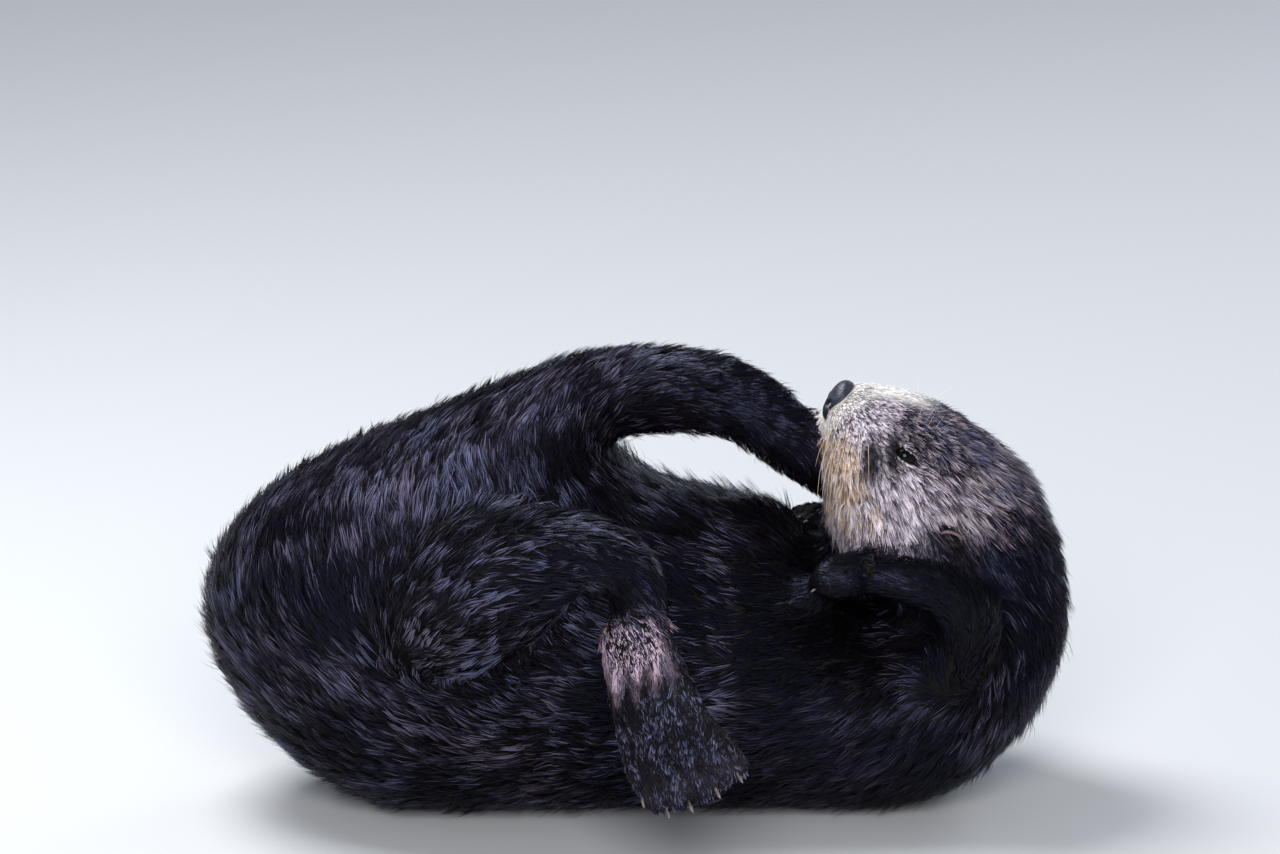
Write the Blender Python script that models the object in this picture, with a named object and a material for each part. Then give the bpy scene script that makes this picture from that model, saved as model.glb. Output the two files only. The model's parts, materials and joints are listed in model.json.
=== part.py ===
"""A sea otter at life size, on its back, its body curled and its tail drawn up over the belly to the chin.

X runs towards the head, Z up, and the animal's left side is at -Y. The origin is on the floor, under the
middle of the back, where the flat that it rests on lies.
"""
import math

import bmesh
import bpy
from mathutils import Matrix, Vector

# Sizes, in metres and degrees.
GAP = 0.0003                 # air between two nodes that touch
CLEARANCE = 0.00045          # how far a cutter stands off the node it clears
BODY_SIDES = 22              # corners of one section of the body
BODY_STEPS = 2               # sections made between two named ones
NOSE_TIP_REACH = 0.0015      # how far each end's point stands off its last section
TAIL_TIP_REACH = 0.003
LIMB_SIDES = 14
LIMB_STEPS = 2
HEAD_PITCH = 55.0            # how far the nose is raised above level
NOSE_TOP = (0.1664, 0.349)   # x and z of the upper edge of the nose pad
EYE_RADIUS = 0.0105
EYE_PLACE = (-0.0655, 0.0085, 0.0430)    # forward, up and out, from the nose's upper edge
NOSE_PLACE = (-0.0085, -0.0155)          # forward and up
NOSE_SIZE = (0.0095, 0.0185, 0.0165)     # half of its depth, height and width
NOSE_LEAN = 25.0                         # how far its face leans down from the head's own axis
EAR_PLACE = (-0.138, 0.003, 0.0790)
EAR_SIZE = (0.0070, 0.0130, 0.0110)      # half of its thickness, length and width
EAR_SWEEP = 28.0
EAR_FACETS = (10, 6)                     # around and along

# The head's sections: forward, top, bottom, half width, and how much narrower the top is.
HEAD = [
    (-0.0030, -0.0040, -0.0150, 0.0060, 0.0),
    (-0.0075, 0.0070, -0.0235, 0.0180, 0.0),
    (-0.0150, 0.0150, -0.0315, 0.0310, 0.10),
    (-0.029, 0.0300, -0.0415, 0.0450, 0.24),
    (-0.047, 0.0445, -0.0535, 0.0530, 0.30),
    (-0.067, 0.0560, -0.067, 0.0600, 0.30),
    (-0.091, 0.0655, -0.087, 0.0700, 0.22),
    (-0.118, 0.0725, -0.092, 0.0800, 0.14),
    (-0.147, 0.0755, -0.077, 0.0860, 0.07),
]
# The body's sections behind the head: belly side x and z, back side x and z, half width.
NECK = [
    (0.196, 0.180, 0.3350, 0.2240, 0.088),
    (0.199, 0.174, 0.3445, 0.1866, 0.092),
    (0.198, 0.170, 0.3450, 0.1376, 0.098),
    (0.191, 0.171, 0.3265, 0.0836, 0.107),
]
CHEST = [
    (0.180, 0.176, 0.2930, 0.0390, 0.115),
    (0.165, 0.190, 0.2480, 0.0080, 0.120),
    (0.145, 0.214, 0.1950, -0.0060, 0.122),
    (0.118, 0.243, 0.1380, -0.0090, 0.124),
]
ABDOMEN = [
    (0.086, 0.2545, 0.0780, -0.0090, 0.127),
    (0.048, 0.263, 0.0100, -0.0090, 0.131),
    (0.016, 0.271, -0.0600, -0.0090, 0.137),
]
LOIN = [
    (-0.001, 0.2825, -0.1300, -0.0095, 0.143),
    (-0.010, 0.2880, -0.2000, -0.0070, 0.148),
    (-0.015, 0.2915, -0.2650, 0.0220, 0.150),
]
PELVIS = [
    (-0.0185, 0.2935, -0.3200, 0.0750, 0.147),
    (-0.0205, 0.2950, -0.3540, 0.1485, 0.141),
    (-0.0215, 0.2965, -0.3395, 0.2165, 0.130),
]
RUMP = [
    (-0.0215, 0.2985, -0.2885, 0.2640, 0.113),
    (-0.0205, 0.3000, -0.2215, 0.3000, 0.093),
    (-0.0180, 0.3012, -0.1515, 0.3320, 0.070),
]
TAIL_ROOT = [
    (-0.0120, 0.3022, -0.0910, 0.3600, 0.054),
    (0.0000, 0.3032, -0.0355, 0.3780, 0.045),
]
# The tail's sections: middle x, y and z, half thickness, slope of its run, and turn to the right side.
TAIL = [
    (0.030, 0.000, 0.3425, 0.0385, 2.0, 0.0),
    (0.066, 0.003, 0.3365, 0.0355, -18.0, 8.0),
    (0.097, 0.012, 0.3180, 0.0335, -42.0, 20.0),
    (0.1225, 0.027, 0.2900, 0.0295, -56.0, 33.0),
    (0.1425, 0.048, 0.2650, 0.0250, -58.0, 46.0),
    (0.1570, 0.070, 0.2440, 0.0205, -52.0, 52.0),
    (0.1670, 0.088, 0.2270, 0.0135, -48.0, 54.0),
    (0.1710, 0.096, 0.2195, 0.0045, -48.0, 54.0),
]

# The limbs' sections: x, y outwards and z of the middle, half width and half thickness.
HIND_LIMB = {
    "L": [
        (-0.175, 0.060, 0.150, 0.060, 0.060),
        (-0.150, 0.100, 0.185, 0.078, 0.074),
        (-0.112, 0.133, 0.225, 0.062, 0.058),
        (-0.070, 0.150, 0.252, 0.047, 0.042),
        (-0.034, 0.162, 0.258, 0.037, 0.031),
        (-0.006, 0.176, 0.243, 0.031, 0.026),
        (0.004, 0.190, 0.220, 0.029, 0.021),
    ],
    "R": [
        (-0.185, 0.060, 0.140, 0.060, 0.060),
        (-0.165, 0.098, 0.165, 0.078, 0.072),
        (-0.132, 0.132, 0.190, 0.062, 0.056),
        (-0.094, 0.153, 0.204, 0.047, 0.042),
        (-0.060, 0.167, 0.203, 0.037, 0.031),
        (-0.035, 0.181, 0.187, 0.031, 0.026),
        (-0.025, 0.194, 0.165, 0.029, 0.021),
    ],
}
# The feet run from heel to toes: x, y outwards and z of the middle, then the way the sole faces.
HIND_FOOT = {
    "L": [
        (-0.012, 0.188, 0.232, -0.50, 0.80, 0.40),
        (-0.001, 0.217, 0.194, -0.50, 0.82, 0.35),
        (0.010, 0.240, 0.161, -0.42, 0.88, 0.20),
        (0.024, 0.257, 0.131, -0.34, 0.92, 0.10),
        (0.042, 0.270, 0.106, -0.28, 0.95, 0.02),
        (0.062, 0.280, 0.086, -0.22, 0.96, -0.05),
    ],
    "R": [
        (-0.040, 0.194, 0.176, -0.50, 0.80, 0.40),
        (-0.026, 0.222, 0.140, -0.50, 0.82, 0.35),
        (-0.006, 0.245, 0.112, -0.40, 0.88, 0.15),
        (0.020, 0.260, 0.090, -0.30, 0.93, -0.05),
        (0.050, 0.269, 0.074, -0.20, 0.95, -0.18),
        (0.080, 0.275, 0.063, -0.15, 0.95, -0.25),
    ],
}
FOOT_HALF_WIDTH = (0.026, 0.034, 0.037, 0.042, 0.050, 0.046)
FOOT_HALF_THICKNESS = (0.016, 0.018, 0.014, 0.0105, 0.008, 0.005)
TOE_REACH = (0.82, 0.91, 0.96, 0.99, 0.985)     # share of the foot's length that each toe ends at
FOOT_LENGTHWISE = 9
FOOT_CROSSWISE = 24       # a multiple of 12, so that a corner falls on every toe
FORE_LIMB = {
    "L": [
        (0.200, 0.058, 0.100, 0.040, 0.036),
        (0.235, 0.079, 0.118, 0.040, 0.036),
        (0.259, 0.088, 0.148, 0.034, 0.031),
        (0.263, 0.094, 0.180, 0.028, 0.026),
        (0.243, 0.096, 0.203, 0.024, 0.021),
        (0.210, 0.094, 0.213, 0.021, 0.019),
        (0.186, 0.090, 0.215, 0.019, 0.016),
    ],
    "R": [
        (0.200, 0.060, 0.100, 0.040, 0.036),
        (0.230, 0.090, 0.115, 0.040, 0.036),
        (0.244, 0.112, 0.138, 0.034, 0.031),
        (0.238, 0.127, 0.158, 0.028, 0.025),
        (0.216, 0.133, 0.172, 0.024, 0.021),
        (0.189, 0.130, 0.180, 0.021, 0.019),
        (0.167, 0.120, 0.187, 0.019, 0.016),
    ],
}
PAW = {
    "L": [
        (0.193, 0.091, 0.215, 0.017, 0.014),
        (0.183, 0.089, 0.216, 0.022, 0.017),
        (0.165, 0.085, 0.214, 0.025, 0.019),
        (0.150, 0.081, 0.209, 0.022, 0.016),
        (0.140, 0.078, 0.204, 0.013, 0.009),
    ],
    "R": [
        (0.170, 0.122, 0.186, 0.016, 0.014),
        (0.161, 0.115, 0.190, 0.021, 0.017),
        (0.147, 0.101, 0.197, 0.025, 0.019),
        (0.136, 0.087, 0.203, 0.022, 0.016),
        (0.130, 0.077, 0.207, 0.012, 0.009),
    ],
}

# Colour, roughness and metallic of each material.
MATERIALS = {
    "body_fur": ((0.030, 0.024, 0.026), 0.75, 0.0),
    "head_fur": ((0.300, 0.255, 0.235), 0.80, 0.0),
    "limb_fur": ((0.036, 0.028, 0.028), 0.75, 0.0),
    "sole_skin": ((0.060, 0.045, 0.046), 0.60, 0.0),
    "nose_skin": ((0.045, 0.046, 0.060), 0.45, 0.0),
    "eye": ((0.012, 0.009, 0.008), 0.08, 0.0),
}


def start_clean():
    for ob in list(bpy.data.objects):
        bpy.data.objects.remove(ob, do_unlink=True)
    for mesh in list(bpy.data.meshes):
        bpy.data.meshes.remove(mesh)


def collection(name):
    made = bpy.data.collections.new(name)
    bpy.context.scene.collection.children.link(made)
    return made


def material(name):
    made = bpy.data.materials.get(name)
    if made:
        return made
    colour, roughness, metallic = MATERIALS[name]
    made = bpy.data.materials.new(name)
    made.use_nodes = True
    shader = made.node_tree.nodes["Principled BSDF"]
    shader.inputs["Base Color"].default_value = (*colour, 1.0)
    shader.inputs["Roughness"].default_value = roughness
    shader.inputs["Metallic"].default_value = metallic
    made.diffuse_color = (*colour, 1.0)
    return made


def between(before, first, last, after, t):
    """Catmull-Rom, on rows of numbers."""
    return tuple(
        0.5 * (2 * b + (c - a) * t + (2 * a - 5 * b + 4 * c - d) * t * t + (3 * b - a - 3 * c + d) * t ** 3)
        for a, b, c, d in zip(before, first, last, after)
    )


def smoothed(rows, steps):
    """Puts rows between the named ones. Row i of the named ones is row i * steps of the result."""
    result = []
    for i in range(len(rows) - 1):
        before = rows[max(i - 1, 0)]
        after = rows[min(i + 2, len(rows) - 1)]
        for k in range(steps):
            result.append(between(before, rows[i], rows[i + 1], after, k / steps))
    result.append(rows[-1])
    return result


def head_point(forward, up, out=0.0):
    """A place on the head, from the nose's upper edge. The animal's left is out > 0, at -Y."""
    pitch = math.radians(HEAD_PITCH)
    x = NOSE_TOP[0] - forward * math.cos(pitch) + up * math.sin(pitch)
    z = NOSE_TOP[1] + forward * math.sin(pitch) + up * math.cos(pitch)
    return Vector((x, -out, z))


def head_rows():
    rows = []
    for forward, top, bottom, half_width, taper in HEAD:
        belly = head_point(forward, bottom)
        back = head_point(forward, top)
        rows.append((belly.x, belly.z, back.x, back.z, half_width, 0.0, 0.0, taper))
    return rows


def trunk_rows(rows):
    return [(*row, 0.0, 0.0, 0.0) for row in rows]


def tail_rows():
    rows = []
    for x, y, z, half, slope, turn in TAIL:
        angle = math.radians(slope)
        up = Vector((-math.sin(angle), 0.0, math.cos(angle))) * half
        rows.append((x - up.x, z - up.z, x + up.x, z + up.z, half, y, turn, 0.0))
    return rows


def body_rows():
    """The whole length from nose to tail tip, and the row at which each named part begins."""
    parts = [
        ("head", head_rows()),
        ("neck", trunk_rows(NECK)),
        ("chest", trunk_rows(CHEST)),
        ("abdomen", trunk_rows(ABDOMEN)),
        ("loin", trunk_rows(LOIN)),
        ("pelvis", trunk_rows(PELVIS)),
        ("rump", trunk_rows(RUMP)),
        ("tail_root", trunk_rows(TAIL_ROOT)),
        ("tail_middle", tail_rows()[:3]),
        ("tail_tip", tail_rows()[3:]),
    ]
    rows = []
    begins = {}
    for name, part in parts:
        begins[name] = len(rows) * BODY_STEPS
        rows += part
    return smoothed(rows, BODY_STEPS), begins


def body_ring(row, grow=0.0):
    belly_x, belly_z, back_x, back_z, half_width, y, turn, taper = row
    belly = Vector((belly_x, y, belly_z))
    back = Vector((back_x, y, back_z))
    middle = (belly + back) / 2
    half_depth = (back - belly).length / 2 + grow
    up = (back - belly).normalized()
    side = Matrix.Rotation(math.radians(turn), 3, up) @ Vector((0.0, -1.0, 0.0))
    ring = []
    for k in range(BODY_SIDES):
        angle = 2 * math.pi * k / BODY_SIDES
        width = (half_width + grow) * (1 - taper * math.cos(angle))
        point = middle + up * half_depth * math.cos(angle) + side * width * math.sin(angle)
        point.z = max(point.z, 0.0)
        ring.append(point)
    return ring


def ring_normal(row):
    """Which way the body runs at this section, from the head to the tail."""
    belly_x, belly_z, back_x, back_z, _, _, turn, _ = row
    up = Vector((back_x - belly_x, 0.0, back_z - belly_z)).normalized()
    side = Matrix.Rotation(math.radians(turn), 3, up) @ Vector((0.0, -1.0, 0.0))
    return up.cross(side).normalized()


def loft(name, rings, home, slot, tips=(None, None)):
    """Joins rings of equal length into one closed body. A tip closes its end with a point further out."""
    bm = bmesh.new()
    loops = [[bm.verts.new(point) for point in ring] for ring in rings]
    sides = len(loops[0])
    for first, second in zip(loops, loops[1:]):
        for k in range(sides):
            after = (k + 1) % sides
            bm.faces.new((first[k], first[after], second[after]))
            bm.faces.new((first[k], second[after], second[k]))
    for loop, tip in ((loops[0], tips[0]), (loops[-1], tips[1])):
        if tip is None:
            tip = sum((v.co for v in loop), Vector()) / sides
        point = bm.verts.new(tip)
        for k in range(sides):
            bm.faces.new((loop[(k + 1) % sides], loop[k], point))
    bmesh.ops.recalc_face_normals(bm, faces=bm.faces)
    return finish(name, bm, home, slot)


def finish(name, bm, home, slot):
    mesh = bpy.data.meshes.new(name)
    bm.to_mesh(mesh)
    bm.free()
    for face in mesh.polygons:
        face.use_smooth = True
    ob = bpy.data.objects.new(name, mesh)
    mesh.materials.append(material(slot))
    home.objects.link(ob)
    return ob


def shifted(ring, by):
    moved = [point + by for point in ring]
    for point in moved:
        point.z = max(point.z, 0.0)
    return moved


def tips_of(rows, grow=0.0):
    """The points that close the nose end and the tail end."""
    nose = Vector(body_middle(rows[0])) - ring_normal(rows[0]) * (NOSE_TIP_REACH + grow)
    tail = Vector(body_middle(rows[-1])) + ring_normal(rows[-1]) * (TAIL_TIP_REACH + grow)
    return nose, tail


def body_middle(row):
    return ((row[0] + row[2]) / 2, row[5], (row[1] + row[3]) / 2)


def make_body(home):
    rows, begins = body_rows()
    names = list(begins)
    made = {}
    nose, tail = tips_of(rows)
    for i, name in enumerate(names):
        first = begins[name]
        last = begins[names[i + 1]] if i + 1 < len(names) else len(rows) - 1
        rings = [body_ring(row) for row in rows[first:last + 1]]
        if i > 0:
            rings[0] = shifted(rings[0], ring_normal(rows[first]) * GAP / 2)
        if last < len(rows) - 1:
            rings[-1] = shifted(rings[-1], -ring_normal(rows[last]) * GAP / 2)
        slot = "head_fur" if name == "head" else "body_fur"
        ends = (nose if i == 0 else None, tail if last == len(rows) - 1 else None)
        made[name] = loft(name, rings, home, slot, ends)
    return made


def body_clearance(cutters, name, begin, end):
    """A run of the body between two parts' starts, a little larger and longer, to cut other nodes with."""
    rows, begins = body_rows()
    first = max(begins[begin] - 1, 0)
    last = begins[end] + 1 if end else len(rows) - 1
    nose, tail = tips_of(rows, CLEARANCE)
    rings = [body_ring(row, CLEARANCE) for row in rows[first:last + 1]]
    ends = (nose if first == 0 else None, tail if end is None else None)
    return loft(name, rings, cutters, "body_fur", ends)


def tube_rings(rows, side, steps, grow=0.0, up=(0.0, 0.0, 1.0)):
    """Rings around a bent limb. side is -1 for the animal's left and 1 for its right."""
    rows = smoothed(rows, steps)
    middles = [Vector((row[0], side * row[1], row[2])) for row in rows]
    rings = []
    runs = []
    across = None
    for i, row in enumerate(rows):
        run = (middles[min(i + 1, len(rows) - 1)] - middles[max(i - 1, 0)]).normalized()
        if across is None:
            across = run.cross(Vector(up)).normalized()
        across = (across - run * across.dot(run)).normalized()
        over = across.cross(run).normalized()
        ring = []
        for k in range(LIMB_SIDES):
            angle = 2 * math.pi * k / LIMB_SIDES
            point = middles[i] + across * (row[3] + grow) * math.cos(angle)
            point += over * (row[4] + grow) * math.sin(angle)
            point.z = max(point.z, 0.0)
            ring.append(point)
        rings.append(ring)
        runs.append(run)
    return rings, runs


def rounded_end(ring, run, reach):
    """Smaller rings that round the end of a limb off."""
    middle = sum(ring, Vector()) / len(ring)
    extra = []
    for share in (0.55, 0.9):
        size = math.sqrt(1 - share * share)
        extra.append([middle + (point - middle) * size + run * reach * share for point in ring])
    return extra, middle + run * reach


def limb(names, rows, side, home, slot, breaks, grow=0.0, steps=LIMB_STEPS):
    """A limb in lengths: names[i] runs from named section breaks[i] to breaks[i + 1]."""
    rings, runs = tube_rings(rows, side, steps, grow)
    made = []
    for name, first, last in zip(names, breaks, breaks[1:]):
        own = [list(ring) for ring in rings[first * steps:last * steps + 1]]
        start_tip = None
        end_tip = None
        if first == breaks[0]:
            extra, start_tip = rounded_end(own[0], -runs[0], rows[0][3] * 0.6 + grow)
            own = extra[::-1] + own
        else:
            own[0] = shifted(own[0], runs[first * steps] * GAP / 2)
        if last == breaks[-1]:
            extra, end_tip = rounded_end(own[-1], runs[-1], rows[-1][4] * 0.9 + grow)
            own = own + extra
        else:
            own[-1] = shifted(own[-1], -runs[last * steps] * GAP / 2)
        made.append(loft(name, own, home, slot, (start_tip, end_tip)))
    return made


def cut(ob, *cutters):
    for i, cutter in enumerate(cutters):
        modifier = ob.modifiers.new("clear_%d" % i, "BOOLEAN")
        modifier.operation = "DIFFERENCE"
        modifier.solver = "EXACT"
        modifier.object = cutter
        cutter.hide_render = True
        cutter.display_type = "WIRE"


def share_of(values, t):
    """A value at share t along an even row of sizes."""
    place = min(max(t, 0.0), 1.0) * (len(values) - 1)
    i = min(int(place), len(values) - 2)
    return values[i] + (values[i + 1] - values[i]) * (place - i)


def hind_foot(name, side, rows, home, grow=0.0):
    """A webbed foot: a bent paddle that spreads towards five toes, the outer one longest."""
    rings = []
    for i in range(FOOT_LENGTHWISE + 1):
        u = i / FOOT_LENGTHWISE
        spread = max(u - 0.4, 0.0) / 0.6
        half_width = share_of(FOOT_HALF_WIDTH, u) + grow
        thick = share_of(FOOT_HALF_THICKNESS, u) + grow
        start = math.sqrt(max(1 - (max(0.1 - u, 0) / 0.105) ** 2, 0.05))
        end = math.sqrt(max(1 - (max(u - 0.92, 0) / 0.085) ** 2, 0.05))
        ring = []
        for k in range(FOOT_CROSSWISE):
            angle = 2 * math.pi * k / FOOT_CROSSWISE
            v = math.cos(angle)
            web = 0.5 - 0.5 * math.cos(4 * math.pi * v)      # 0 on a toe, 1 in the web between two
            reach = share_of(TOE_REACH, (v + 1) / 2) - 0.05 * spread * web
            along, _, across, sole = foot_frame(rows, u * reach)
            height = thick * (1.0 - 0.35 * spread * web) * end * start
            height *= math.copysign(abs(math.sin(angle)) ** 0.8, math.sin(angle))
            point = along + across * half_width * v * start + sole * height
            point.y *= side
            point.z = max(point.z, 0.0)
            ring.append(point)
        rings.append(ring)
    along, run, _, _ = foot_frame(rows, 0.0)
    start_tip = along - run * (0.004 + grow)
    start_tip.y *= side
    return loft(name, rings, home, "sole_skin", (start_tip, None))


def foot_frame(rows, t):
    """The middle of the foot at share t of its length, with its run, its width and the sole's facing."""
    here = Vector([share_of([row[k] for row in rows], t) for k in range(6)])
    step = 0.5 / (len(rows) - 1)
    ahead = [share_of([row[k] for row in rows], min(t + step, 1.0)) for k in range(3)]
    behind = [share_of([row[k] for row in rows], max(t - step, 0.0)) for k in range(3)]
    run = (Vector(ahead) - Vector(behind)).normalized()
    sole = Vector(here[3:6])
    sole = (sole - run * sole.dot(run)).normalized()
    return Vector(here[:3]), run, run.cross(sole).normalized(), sole


def ball(name, middle, radii, turn, home, slot, grow=0.0, segments=12, rings=8):
    """An ellipsoid whose own axes are the columns of turn."""
    bm = bmesh.new()
    bmesh.ops.create_uvsphere(bm, u_segments=segments, v_segments=rings, radius=1.0)
    size = Matrix.Diagonal([radius + grow for radius in radii])
    for v in bm.verts:
        v.co = turn @ (size @ v.co) + middle
    if turn.determinant() < 0:
        bmesh.ops.reverse_faces(bm, faces=bm.faces)
    return finish(name, bm, home, slot)


def head_axes(sweep=0.0, side=-1, lean=0.0):
    """Columns forward, up and out on the head, leant down and turned about up by sweep."""
    pitch = math.radians(HEAD_PITCH - lean)
    forward = Vector((-math.cos(pitch), 0.0, math.sin(pitch)))
    up = Vector((math.sin(pitch), 0.0, math.cos(pitch)))
    out = Vector((0.0, side, 0.0))
    turn = Matrix.Rotation(math.radians(sweep) * side, 3, up)
    axes = Matrix((turn @ forward, up, turn @ out))
    return axes.transposed()


def make_head_details(home, cutters, head):
    nose_middle = head_point(*NOSE_PLACE)
    nose_axes = head_axes(lean=NOSE_LEAN)
    ball("nose", nose_middle, NOSE_SIZE, nose_axes, home, "nose_skin")
    cut_list = [ball("nose_clearance", nose_middle, NOSE_SIZE, nose_axes, cutters, "nose_skin", CLEARANCE)]
    for letter, side in (("L", -1), ("R", 1)):
        forward, up, out = EYE_PLACE
        middle = head_point(forward, up, -side * out)
        radii = (EYE_RADIUS,) * 3
        ball("eye_" + letter, middle, radii, head_axes(), home, "eye")
        cut_list.append(ball("socket_" + letter, middle, radii, head_axes(), cutters, "eye", CLEARANCE))
        forward, up, out = EAR_PLACE
        middle = head_point(forward, up, -side * out)
        axes = head_axes(EAR_SWEEP, side)
        ball("ear_" + letter, middle, EAR_SIZE, axes, home, "head_fur", 0.0, *EAR_FACETS)
        seat = ball("ear_seat_" + letter, middle, EAR_SIZE, axes, cutters, "head_fur", CLEARANCE, *EAR_FACETS)
        cut_list.append(seat)
    cut(head, *cut_list)


def make_limbs(home, cutters, body):
    front = body_clearance(cutters, "front_clearance", "head", "chest")
    trunk = body_clearance(cutters, "trunk_clearance", "chest", "tail_root")
    tail = body_clearance(cutters, "tail_clearance", "tail_middle", None)
    cut(body["tail_tip"], front, trunk)
    for letter, side in (("L", -1), ("R", 1)):
        names = ["thigh_" + letter, "shank_" + letter]
        hind = HIND_LIMB[letter]
        parts = limb(names, hind, side, home, "limb_fur", [0, 3, 6])
        whole = limb(["hind_clearance_" + letter], hind, side, cutters, "limb_fur", [0, 6], CLEARANCE)
        for part in parts:
            cut(part, trunk)
        foot = hind_foot("hindfoot_" + letter, side, HIND_FOOT[letter], home)
        cut(foot, trunk, whole[0])

        names = ["upper_arm_" + letter, "forearm_" + letter]
        fore = FORE_LIMB[letter]
        parts = limb(names, fore, side, home, "limb_fur", [0, 3, 6])
        whole = limb(["fore_clearance_" + letter], fore, side, cutters, "limb_fur", [0, 6], CLEARANCE)
        for part in parts:
            cut(part, front, trunk, tail)
        paw = limb(["forepaw_" + letter], PAW[letter], side, home, "sole_skin", [0, 4])[0]
        cut(paw, front, trunk, tail, whole[0])


def main():
    start_clean()
    home = collection("sea_otter")
    cutters = collection("cutters")
    cutters.hide_render = True
    body = make_body(home)
    make_head_details(home, cutters, body["head"])
    make_limbs(home, cutters, body)


main()
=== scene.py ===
import json
import math

import bmesh
import bpy
import numpy as np
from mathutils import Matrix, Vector
from mathutils.bvhtree import BVHTree
from mathutils.kdtree import KDTree

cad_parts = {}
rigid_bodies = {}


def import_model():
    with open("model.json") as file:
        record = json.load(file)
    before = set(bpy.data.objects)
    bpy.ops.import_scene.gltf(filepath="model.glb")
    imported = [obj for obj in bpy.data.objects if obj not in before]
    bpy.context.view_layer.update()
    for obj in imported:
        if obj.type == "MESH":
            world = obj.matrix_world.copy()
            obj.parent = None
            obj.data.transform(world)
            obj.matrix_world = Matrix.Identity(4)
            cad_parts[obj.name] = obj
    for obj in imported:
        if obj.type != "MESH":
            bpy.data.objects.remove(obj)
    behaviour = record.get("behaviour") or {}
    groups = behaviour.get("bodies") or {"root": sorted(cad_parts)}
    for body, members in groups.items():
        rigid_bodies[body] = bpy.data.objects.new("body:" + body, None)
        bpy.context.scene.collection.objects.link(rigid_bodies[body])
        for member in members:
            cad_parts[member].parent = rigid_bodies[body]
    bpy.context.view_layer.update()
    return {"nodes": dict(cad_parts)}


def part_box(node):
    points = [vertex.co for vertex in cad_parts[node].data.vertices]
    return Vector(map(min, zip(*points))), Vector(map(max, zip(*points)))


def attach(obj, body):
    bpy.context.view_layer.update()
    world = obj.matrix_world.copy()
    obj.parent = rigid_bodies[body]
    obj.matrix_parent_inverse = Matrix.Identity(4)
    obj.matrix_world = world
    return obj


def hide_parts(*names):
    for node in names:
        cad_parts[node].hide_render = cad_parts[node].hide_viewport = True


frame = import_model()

# The sea otter's looks: one skin under the coat, the coat in tufts, eyes, nose, ears, whiskers and claws.
# Lengths are in metres. The head has its own frame: forward, up (towards the crown) and out.

NODES = frame["nodes"]
RANDOM = np.random.default_rng(7)

BODY = ["head", "neck", "chest", "abdomen", "loin", "pelvis", "rump", "tail_root", "tail_middle", "tail_tip"]
HIND = ["thigh", "shank", "hindfoot"]
FORE = ["upper_arm", "forearm", "forepaw"]
LIMBS = [[name + "_" + side for name in chain] for chain in (HIND, FORE) for side in "LR"]
FEET = ["hindfoot_L", "hindfoot_R", "forepaw_L", "forepaw_R"]
FLESH = BODY + [name for chain in LIMBS for name in chain] + ["ear_L", "ear_R"]
FILLING = ["nose", "eye_L", "eye_R"]

VOXEL = 0.0055
GROW = 0.0006                 # closes the thin cuts between the nodes
EYE_GROW = -0.001             # draws the eyes' solids in before they join the skin
CUT_REACH = 0.0008            # wider than a cut between two nodes
USUAL_WIDTH = 0.00105
# By kind of node: the coat's depth, from the skin to the outline, and its tufts' length, width and density.
COAT_SIZES = {
    "head": (0.0055, 0.0225, 0.00082, 1.0),
    "neck": (0.0075, 0.0240, USUAL_WIDTH, 1.0),
    "chest": (0.0080, 0.0220, USUAL_WIDTH, 1.0),
    "abdomen": (0.0080, 0.0220, USUAL_WIDTH, 1.0),
    "loin": (0.0080, 0.0220, USUAL_WIDTH, 1.0),
    "pelvis": (0.0080, 0.0220, USUAL_WIDTH, 1.0),
    "rump": (0.0078, 0.0200, USUAL_WIDTH, 1.0),
    "tail_root": (0.0070, 0.0170, USUAL_WIDTH, 1.4),
    "tail_middle": (0.0064, 0.0140, USUAL_WIDTH, 1.7),
    "tail_tip": (0.0065, 0.0130, USUAL_WIDTH, 1.8),
    "thigh": (0.0068, 0.0185, USUAL_WIDTH, 1.0),
    "shank": (0.0045, 0.0160, USUAL_WIDTH, 1.5),
    "hindfoot": (0.0024, 0.0060, 0.00085, 2.0),
    "upper_arm": (0.0055, 0.0150, USUAL_WIDTH, 1.0),
    "forearm": (0.0038, 0.0140, 0.00080, 1.8),
    "forepaw": (0.0024, 0.0055, 0.00065, 2.8),
    "nose": (0.0030, 0.0040, 0.00070, 1.0),
    "eye": (0.0030, 0.0060, 0.00080, 1.0),
    "ear": (0.0040, 0.0045, 0.00060, 3.0),
}
DEPTH, LENGTH, WIDTH, DENSITY = ({kind: row[i] for kind, row in COAT_SIZES.items()} for i in range(4))
FINE_FOOT_DEPTH = 0.0012      # of the feet's own skin, and how much deeper it lies under the limb's
JOIN_DEPTH = 0.0022
BODY_PIECES = 5               # of coat
HEAD_PIECES = 3
TUFTS_PER_PIECE = 30500

# The head's frame, from the frame's own solids.
HEAD_PITCH = math.radians(55.0)
FORWARD = np.array((-math.cos(HEAD_PITCH), 0.0, math.sin(HEAD_PITCH)))
UPWARD = np.array((math.sin(HEAD_PITCH), 0.0, math.cos(HEAD_PITCH)))
DOWN = np.array((0.0, 0.0, -1.0))


def middle_of(node):
    low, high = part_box(node)
    return np.array((low + high) / 2)


def radius_of(node):
    low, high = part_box(node)
    return (high - low).z / 2


NOSE_MIDDLE = middle_of("nose")
NOSE_BACK = -0.0085
NOSE_DROP = -0.0155
NOSE_LEAN = math.radians(25.0)
HEAD_ORIGIN = NOSE_MIDDLE - FORWARD * NOSE_BACK - UPWARD * NOSE_DROP


def head_frame(points):
    """Forward, up and outward places of points; out is the distance from the middle plane."""
    offset = points - HEAD_ORIGIN
    return offset @ FORWARD, offset @ UPWARD, np.abs(offset[:, 1])


def from_head(forward, up, out, side):
    """A point from the head's frame. side is -1 for the animal's left."""
    return HEAD_ORIGIN + FORWARD * forward + UPWARD * up + np.array((0.0, side * out, 0.0))


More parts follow.
